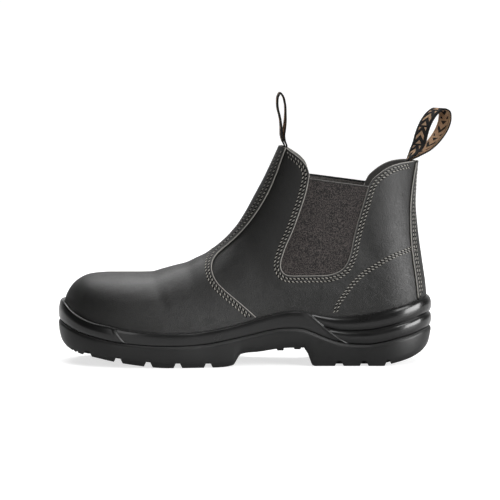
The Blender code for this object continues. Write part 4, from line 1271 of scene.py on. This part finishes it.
class BOOT_OT_overlays(bpy.types.Operator):
    """Builds the vamp with its shin strip, and the back stay"""

    bl_idname = "boot.overlays"
    bl_label = "Build Vamp and Back Stay"

    def execute(self, context):
        radius = sizes().edge_radius / MM
        edge = above_rubber(beside(path(VAMP_EDGE), radius), 1)
        around = [*edge, *above_rim(edge[-1, 0] - 1.0, TOE_X), (-290.0, 58.0), (-290.0, CUT_ABOVE),
                  (-70.0, CUT_ABOVE)]
        overlay("vamp", around, 90)
        edge = above_rubber(beside(path(STAY_EDGE), -radius), 1)
        around = [*edge, *above_rim(edge[-1, 0] + 0.5, HEEL_X), (CUT_BEHIND, 60.0), (CUT_BEHIND, 172.0)]
        overlay("back_stay", around, 40)
        return {"FINISHED"}


def above_rubber(line, clear):
    """The part of a line that lies clear above the rim of the cushion layer."""
    return line[line[:, 1] > height(RIM_TOP, line[:, 0]) + clear]


def overlay(node, around, reach):
    """An overlay of leather, cut out of the last surface along an outline seen from the side."""
    name = f"leather_{node}"
    piece = new_piece(name, shell(name, OVERLAY), "black_leather", "black_leather", "cut_edge")
    cut(piece, plate(f"{node}_pattern", around, -reach, reach), "INTERSECT")
    cut(piece, above_collar(sizes().edge_radius / MM), "DIFFERENCE")
    finish_shading(piece)
    declare(piece, "leather", node)


class BOOT_OT_edges(bpy.types.Operator):
    """Rounds the cut edges of the leather"""

    bl_idname = "boot.edges"
    bl_label = "Round Leather Edges"

    def execute(self, context):
        radius = sizes().edge_radius / MM
        outer, wall = Skin(OVERLAY[0]), Skin(WALL[0])
        vamp = above_rubber(beside(path(VAMP_EDGE), radius), 0.3)
        stay = above_rubber(beside(path(STAY_EDGE), -radius), 0.3)
        front, gore, back = (beside(line, radius) for line in quarter_edge())
        quarter = np.concatenate([front[front[:, 0] > EDGE_STOPS["front"]], gore,
                                  back[back[:, 0] < EDGE_STOPS["back"]]])
        beads = Gather()
        for side in (-1, 1):
            round_edge(beads, outer, vamp[vamp[:, 1] < EDGE_STOPS["vamp"]], side, radius)
            round_edge(beads, outer, stay[stay[:, 1] < EDGE_STOPS["back_stay"]], side, radius)
            round_edge(beads, wall, quarter, side, radius)
        edges = new_piece("leather_edges", beads.mesh("leather_edges"), "cut_edge")
        declare(edges, "leather")
        return {"FINISHED"}


class BOOT_OT_stitching(bpy.types.Operator):
    """Sews the twin rows of stitches"""

    bl_idname = "boot.stitching"
    bl_label = "Sew Stitches"

    def execute(self, context):
        size = sizes()
        tree = upper_skin_tree()
        first = size.first_row / MM
        twin = (first, first + size.row_gap / MM)
        for name, rows in (("vamp", twin), ("quarters", twin), ("back_stay", STAY_ROWS),
                           ("counter", COUNTER_ROWS)):
            gather = Gather()
            for side in (-1, 1):
                for k, row in enumerate(rows):
                    stitch_row(gather, tree, seam_line(name, row), side, size, 0.35 * k)
            label = f"stitches_{name}"
            seam = new_piece(label, gather.mesh(label), "thread", "needle_hole")
            declare(seam, "leather")
        return {"FINISHED"}


def seam_line(name, row):
    """The line of one row of a seam, seen from the side."""
    if name == "counter":
        return above_rubber(beside(path(COUNTER_SEAM), row), 1.5)
    if name != "quarters":
        line = above_rubber(beside(path(VAMP_EDGE if name == "vamp" else STAY_EDGE), row), 2.0)
        return line[line[:, 1] < SEAM_STOPS[name]]
    front, gore, back = (beside(line, row) for line in quarter_edge())
    front = front[(front[:, 0] > SEAM_STOPS["front"] + 0.2 * row) & (front[:, 1] > GORE_TURN["front"])]
    back = back[(back[:, 0] < SEAM_STOPS["back"]) & (back[:, 0] > GORE_TURN["back"] + row)]
    return np.concatenate([front, gore[gore[:, 1] < GORE_TURN["gore"]], back])


class BOOT_OT_gores(bpy.types.Operator):
    """Builds the two woven elastic gores and their folded hems"""

    bl_idname = "boot.gores"
    bl_label = "Build Gores"

    def execute(self, context):
        skin = Skin((HEM[0] + HEM[1]) / 2)
        for side, name, near, far in ((-1, "gore_outer", -80, -5), (1, "gore_inner", 5, 80)):
            # The gore's inner face takes the light grey elastic, painted light where it lies in shade.
            gore = new_piece(f"{name}_elastic", shell(name, GORE), "gore_elastic", "gore_inside",
                             "gore_elastic")
            cut(gore, gore_window(-0.15, near, far), "INTERSECT")
            cut(gore, above_collar(1.2), "DIFFERENCE")
            finish_shading(gore)
            declare(gore, "elastic", name)
            points, normals = skin.from_side(np.linspace(*GORE_TOP, 40), side)
            down = unit(np.cross(unit(np.gradient(points, axis=0)), normals)) * -side
            hem = Gather()
            hem.add(*sweep(points, normals, down, hem_profile(HEM_DROP, HEM[1] - HEM[0])), 0)
            # A bead along the hem, painted light grey: a painted highlight on its ridge.
            bead = points + down * HEM_BEAD_PLACE[0] + normals * HEM_BEAD_PLACE[1]
            hem.add(*sweep(bead, normals, down, round_profile(8, HEM_BEAD)), 1)
            piece = new_piece(f"{name}_hem", hem.mesh(f"{name}_hem"), "gore_hem", "hem_edge")
            declare(piece, "elastic")
        return {"FINISHED"}


def hem_profile(drop, thick):
    """A flat band with round edges, hanging down from its top edge."""
    half = thick / 2
    turn = np.linspace(0, math.pi, 9)
    upper = np.stack([-np.sin(turn) * half + half, -np.cos(turn) * half], axis=1)
    lower = np.stack([drop - half + np.sin(turn) * half, np.cos(turn) * half], axis=1)
    return np.concatenate([upper, lower])


class BOOT_OT_loops(bpy.types.Operator):
    """Folds the webbing into the two pull loops"""

    bl_idname = "boot.loops"
    bl_label = "Build Pull Loops"

    def execute(self, context):
        for name, line in (("pull_loop_front", FRONT_LOOP), ("pull_loop_rear", REAR_LOOP)):
            declare(make_loop(f"{name}_web", line), "webbing", name)
        return {"FINISHED"}


def make_loop(name, line):
    """A web swept along its centre line, its map in shares of width and tenths of a metre."""
    points = np.stack([line["x"], line["z"]], axis=1)
    run = np.append(0, np.cumsum(np.hypot(*np.diff(points, axis=0).T)))
    centre = path(points, 0.9)
    count = len(centre)
    turn = np.radians(np.interp(np.linspace(0, run[-1], count), run, line["turn"]))
    across = np.stack([np.sin(turn), -np.cos(turn), np.zeros(count)], axis=1)
    middle = np.stack([centre[:, 0], np.full(count, middle_y(line["x"][0])), centre[:, 1]], axis=1)
    tangent = unit(np.gradient(middle, axis=0))
    out = unit(np.cross(tangent, across))
    half, thick, side = WEB_WIDTH / 2, WEB_THICK / 2, WEB_THICK / 2 * 0.45
    flat = np.linspace(-half + WEB_ROUND, half - WEB_ROUND, 9)
    profile = np.array([*[(a, thick) for a in flat], (half, side), (half, -side),
                        *[(a, -thick) for a in flat[::-1]], (-half, -side), (-half, side)])
    points, faces = sweep(middle, out, across, profile)
    columns = len(profile)
    inner = len(flat) - 1
    finish = [int(len(face) == 4 and face[0] % columns < inner) for face in faces]
    mesh = raw_mesh(name, points, faces, finish)
    layer = mesh.uv_layers.new(name="web")
    length = np.append(0, np.cumsum(np.linalg.norm(np.diff(middle, axis=0), axis=1)))
    for corner in mesh.loops:
        row, column = divmod(corner.vertex_index, columns)
        layer.data[corner.index].uv = (profile[column, 0] / WEB_WIDTH + 0.5, length[row] / 100)
    loop = new_piece(name, face_outward(mesh), "loop_webbing", "loop_webbing_inside")
    finish_shading(loop, 50.0)
    return loop


class BOOT_OT_midsole(bpy.types.Operator):
    """Moulds the glossy cushion layer"""

    bl_idname = "boot.midsole"
    bl_label = "Build Midsole"

    def execute(self, context):
        foot = cushion_foot()
        rings = [ring(foot, INTERFACE_INSET + 0.6, lambda x: interface(x) + GAP)]
        rings += [cushion_ring(share, foot) for share in side_shares()]
        midsole = new_piece("cushion_midsole", loft("cushion_midsole", rings), "glossy_rubber")
        cut(midsole, foot_room(WALL[0] - GAP), "DIFFERENCE")
        finish_shading(midsole, 42.0)
        declare(midsole, "cushion_rubber", "midsole")
        return {"FINISHED"}


def side_shares():
    """Heights up the side of the cushion layer, closer together at its edges and groove."""
    rows = np.arange(len(SIDE["height"]))
    return np.interp(np.linspace(0, rows[-1], SIDE_ROWS), rows, SIDE["height"])


class BOOT_OT_outsole(bpy.types.Operator):
    """Moulds the satin tread with its lugs"""

    bl_idname = "boot.outsole"
    bl_label = "Build Outsole"

    def execute(self, context):
        x = sole_stations(150, np.array(ARCH_CORNERS), 0.8)
        rings = [ring(x, INTERFACE_INSET, interface)]
        for inset, below, above in zip(*TREAD_SIDE.values()):
            line, off = (TREAD_TOP, -below) if below >= 0 else (TREAD_BOTTOM, above)
            rings.append(ring(x, inset, lambda x, line=line, off=off: height(line, x) + off))
        outsole = new_piece("tread_outsole", loft("tread_outsole", rings), "satin_rubber")
        for at, drop in ARCH_BARS:
            z = float(height(TREAD_BOTTOM, at))
            half = ARCH_BAR_HALF
            bar = ((at - half - 1, z + 3), (at - half, z - drop), (at + half, z - drop),
                   (at + half + 1, z + 3))
            cut(outsole, plate("arch_bar", bar, *ARCH_BAR_SIDES, 0), "UNION")
        grooves = [(*row, GROOVE_DEPTH) for row in zip(*SIDE_GROOVES.values())]
        for at, mouth, root, deep in [*grooves, *((at, *TOOTH_GAP) for at in TOE_TEETH)]:
            for near, far in ((-75, -GROOVE_REACH), (GROOVE_REACH, 75)):
                cut(outsole, groove(at, mouth, root, deep, near, far), "DIFFERENCE")
        reach = GROOVE_REACH - CHANNEL_WIDTH - 1
        for at in CENTRE_GROOVES:
            middle = groove(at, CENTRE_MOUTH, CENTRE_ROOT, GROOVE_DEPTH, -reach, reach)
            cut(outsole, middle, "DIFFERENCE")
        for first, last in (FORE_CHANNEL, HEEL_CHANNEL):
            for side in (-1, 1):
                middle = side * (GROOVE_REACH - CHANNEL_WIDTH / 2)
                cut(outsole, channel(first, last, middle), "DIFFERENCE")
        finish_shading(outsole, 30.0)
        declare(outsole, "tread_rubber", "outsole")
        return {"FINISHED"}


def groove(x, mouth, root, deep, near, far):
    """A trapezoid groove across the tread, following the underside."""
    bottom = float(height(TREAD_BOTTOM, x))
    widen = (mouth - root) / 2 / deep
    half_low = mouth / 2 + widen * CUT_BELOW
    points = ((x - half_low, bottom - CUT_BELOW), (x + half_low, bottom - CUT_BELOW),
              (x + root / 2, bottom + deep), (x - root / 2, bottom + deep))
    return plate("groove", points, near, far, 0)


def channel(first, last, middle):
    """A groove along the tread at y middle, following its toe spring."""
    x = np.linspace(first, last, 24)
    top = [(a, height(TREAD_BOTTOM, a) + GROOVE_DEPTH - 0.6) for a in x]
    points = [(last, -CUT_BELOW), (first, -CUT_BELOW), *top]
    return plate("channel", points, middle - CHANNEL_WIDTH / 2, middle + CHANNEL_WIDTH / 2, 0)


class BOOT_OT_insole(bpy.types.Operator):
    """Lays the loose insole"""

    bl_idname = "boot.insole"
    bl_label = "Build Insole"

    def execute(self, context):
        grid = Skin.at(WALL[1] + INSOLE_ROOM)
        seam = Skin.seam
        edge = np.concatenate([grid[seam::-1, 0], grid[1:seam, -1]])
        centre = edge.mean(axis=0) * (1, 1, 0)
        out = unit((edge - centre) * (1, 1, 0))
        rings = [edge, *(edge - out * inset + (0, 0, lift) for inset, lift in INSOLE_EDGE)]
        insole = new_piece("cloth_insole", loft("cloth_insole", rings), "sock_cloth")
        finish_shading(insole)
        declare(insole, "insole_cloth", "insole")
        return {"FINISHED"}


class BOOT_OT_stage(bpy.types.Operator):
    """Sets the pale floor, the soft lights and the camera"""

    bl_idname = "boot.stage"
    bl_label = "Set Stage"

    def execute(self, context):
        scene = context.scene
        aim = Vector(CAMERA_AIM)
        lens = bpy.data.cameras.new("camera")
        lens.sensor_width = 36.0
        lens.lens = lens.sensor_width * CAMERA_AWAY / PHOTO_WIDTH
        lens.clip_end = 50.0
        camera = bpy.data.objects.new("camera", lens)
        rise = math.radians(CAMERA_RISE)
        camera.location = aim + Vector((0, -math.cos(rise), math.sin(rise))) * CAMERA_AWAY
        camera.rotation_euler = (aim - camera.location).to_track_quat("-Z", "Y").to_euler()
        scene.collection.objects.link(camera)
        scene.camera = camera
        self.add_floor()
        self.add_lights(scene, aim)
        return {"FINISHED"}

    def add_floor(self):
        """One sheet: the floor, a wide curve and the wall behind."""
        bend, half = FLOOR_BEND, FLOOR_WIDTH / 2
        turn = np.linspace(0, math.pi / 2, 24)
        curve = [(WALL_Y - bend + bend * math.sin(t), bend - bend * math.cos(t)) for t in turn]
        profile = [(-WALL_Y, 0.0), *curve, (WALL_Y, WALL_TOP)]
        points = [(x, y, z) for x in (-half, half) for y, z in profile]
        count = len(profile)
        faces = [(i, i + 1, count + i + 1, count + i) for i in range(count - 1)]
        mesh = bpy.data.meshes.new("studio_floor")
        mesh.from_pydata(points, [], faces)
        mesh.shade_smooth()
        floor = new_piece("studio_floor", mesh, "studio_floor")

    def add_lights(self, scene, aim):
        """Soft lights round the boot, one on the wall behind it, and a little light from all sides."""
        for name, place, width, depth, power in LIGHTS:
            lamp = bpy.data.lights.new(name, "AREA")
            lamp.shape = "RECTANGLE"
            lamp.size = width
            lamp.size_y = depth
            lamp.energy = power
            light = bpy.data.objects.new(name, lamp)
            light.location = place
            target = Vector(WALL_AIM) if name == "wall_light" else aim
            light.rotation_euler = (target - light.location).to_track_quat("-Z", "Y").to_euler()
            scene.collection.objects.link(light)
        world = bpy.data.worlds.new("studio_air")
        world.use_nodes = True
        feed(world.node_tree, world.node_tree.nodes["Background"].inputs,
             {"Color": (1.0, 1.0, 1.0, 1.0), "Strength": AMBIENT})
        scene.world = world
        scene.view_settings.view_transform = "Standard"


STEPS = (BOOT_OT_finishes, BOOT_OT_stage, BOOT_OT_upper, BOOT_OT_overlays, BOOT_OT_edges,
         BOOT_OT_stitching, BOOT_OT_gores, BOOT_OT_loops, BOOT_OT_midsole, BOOT_OT_outsole,
         BOOT_OT_insole)


class BOOT_PT_panel(bpy.types.Panel):
    """Lists the boot's settings and steps"""

    bl_idname = "BOOT_PT_panel"
    bl_label = "Side Gore Work Boot"
    bl_space_type = "VIEW_3D"
    bl_region_type = "UI"
    bl_category = "Boot"

    def draw(self, context):
        for group in (context.scene.boot_sizes, context.scene.boot_colours):
            box = self.layout.box()
            for name in group.bl_rna.properties.keys():
                if name not in ("rna_type", "name"):
                    box.prop(group, name)
        for step in STEPS:
            self.layout.operator(step.bl_idname)


CLASSES = (BootSizes, BootColours, *STEPS, BOOT_PT_panel)


def register():
    for kind in CLASSES:
        bpy.utils.register_class(kind)
    bpy.types.Scene.boot_sizes = bpy.props.PointerProperty(type=BootSizes)
    bpy.types.Scene.boot_colours = bpy.props.PointerProperty(type=BootColours)


def unregister():
    del bpy.types.Scene.boot_colours
    del bpy.types.Scene.boot_sizes
    for kind in reversed(CLASSES):
        bpy.utils.unregister_class(kind)


def main():
    register()
    Skin.prepare(sizes().crease_scale)
    bpy.ops.boot.finishes()
    bpy.ops.boot.stage()
    bpy.ops.boot.upper()
    bpy.ops.boot.overlays()
    bpy.ops.boot.edges()
    bpy.ops.boot.stitching()
    bpy.ops.boot.gores()
    bpy.ops.boot.loops()
    bpy.ops.boot.midsole()
    bpy.ops.boot.outsole()
    bpy.ops.boot.insole()


if __name__ == "__main__":
    main()
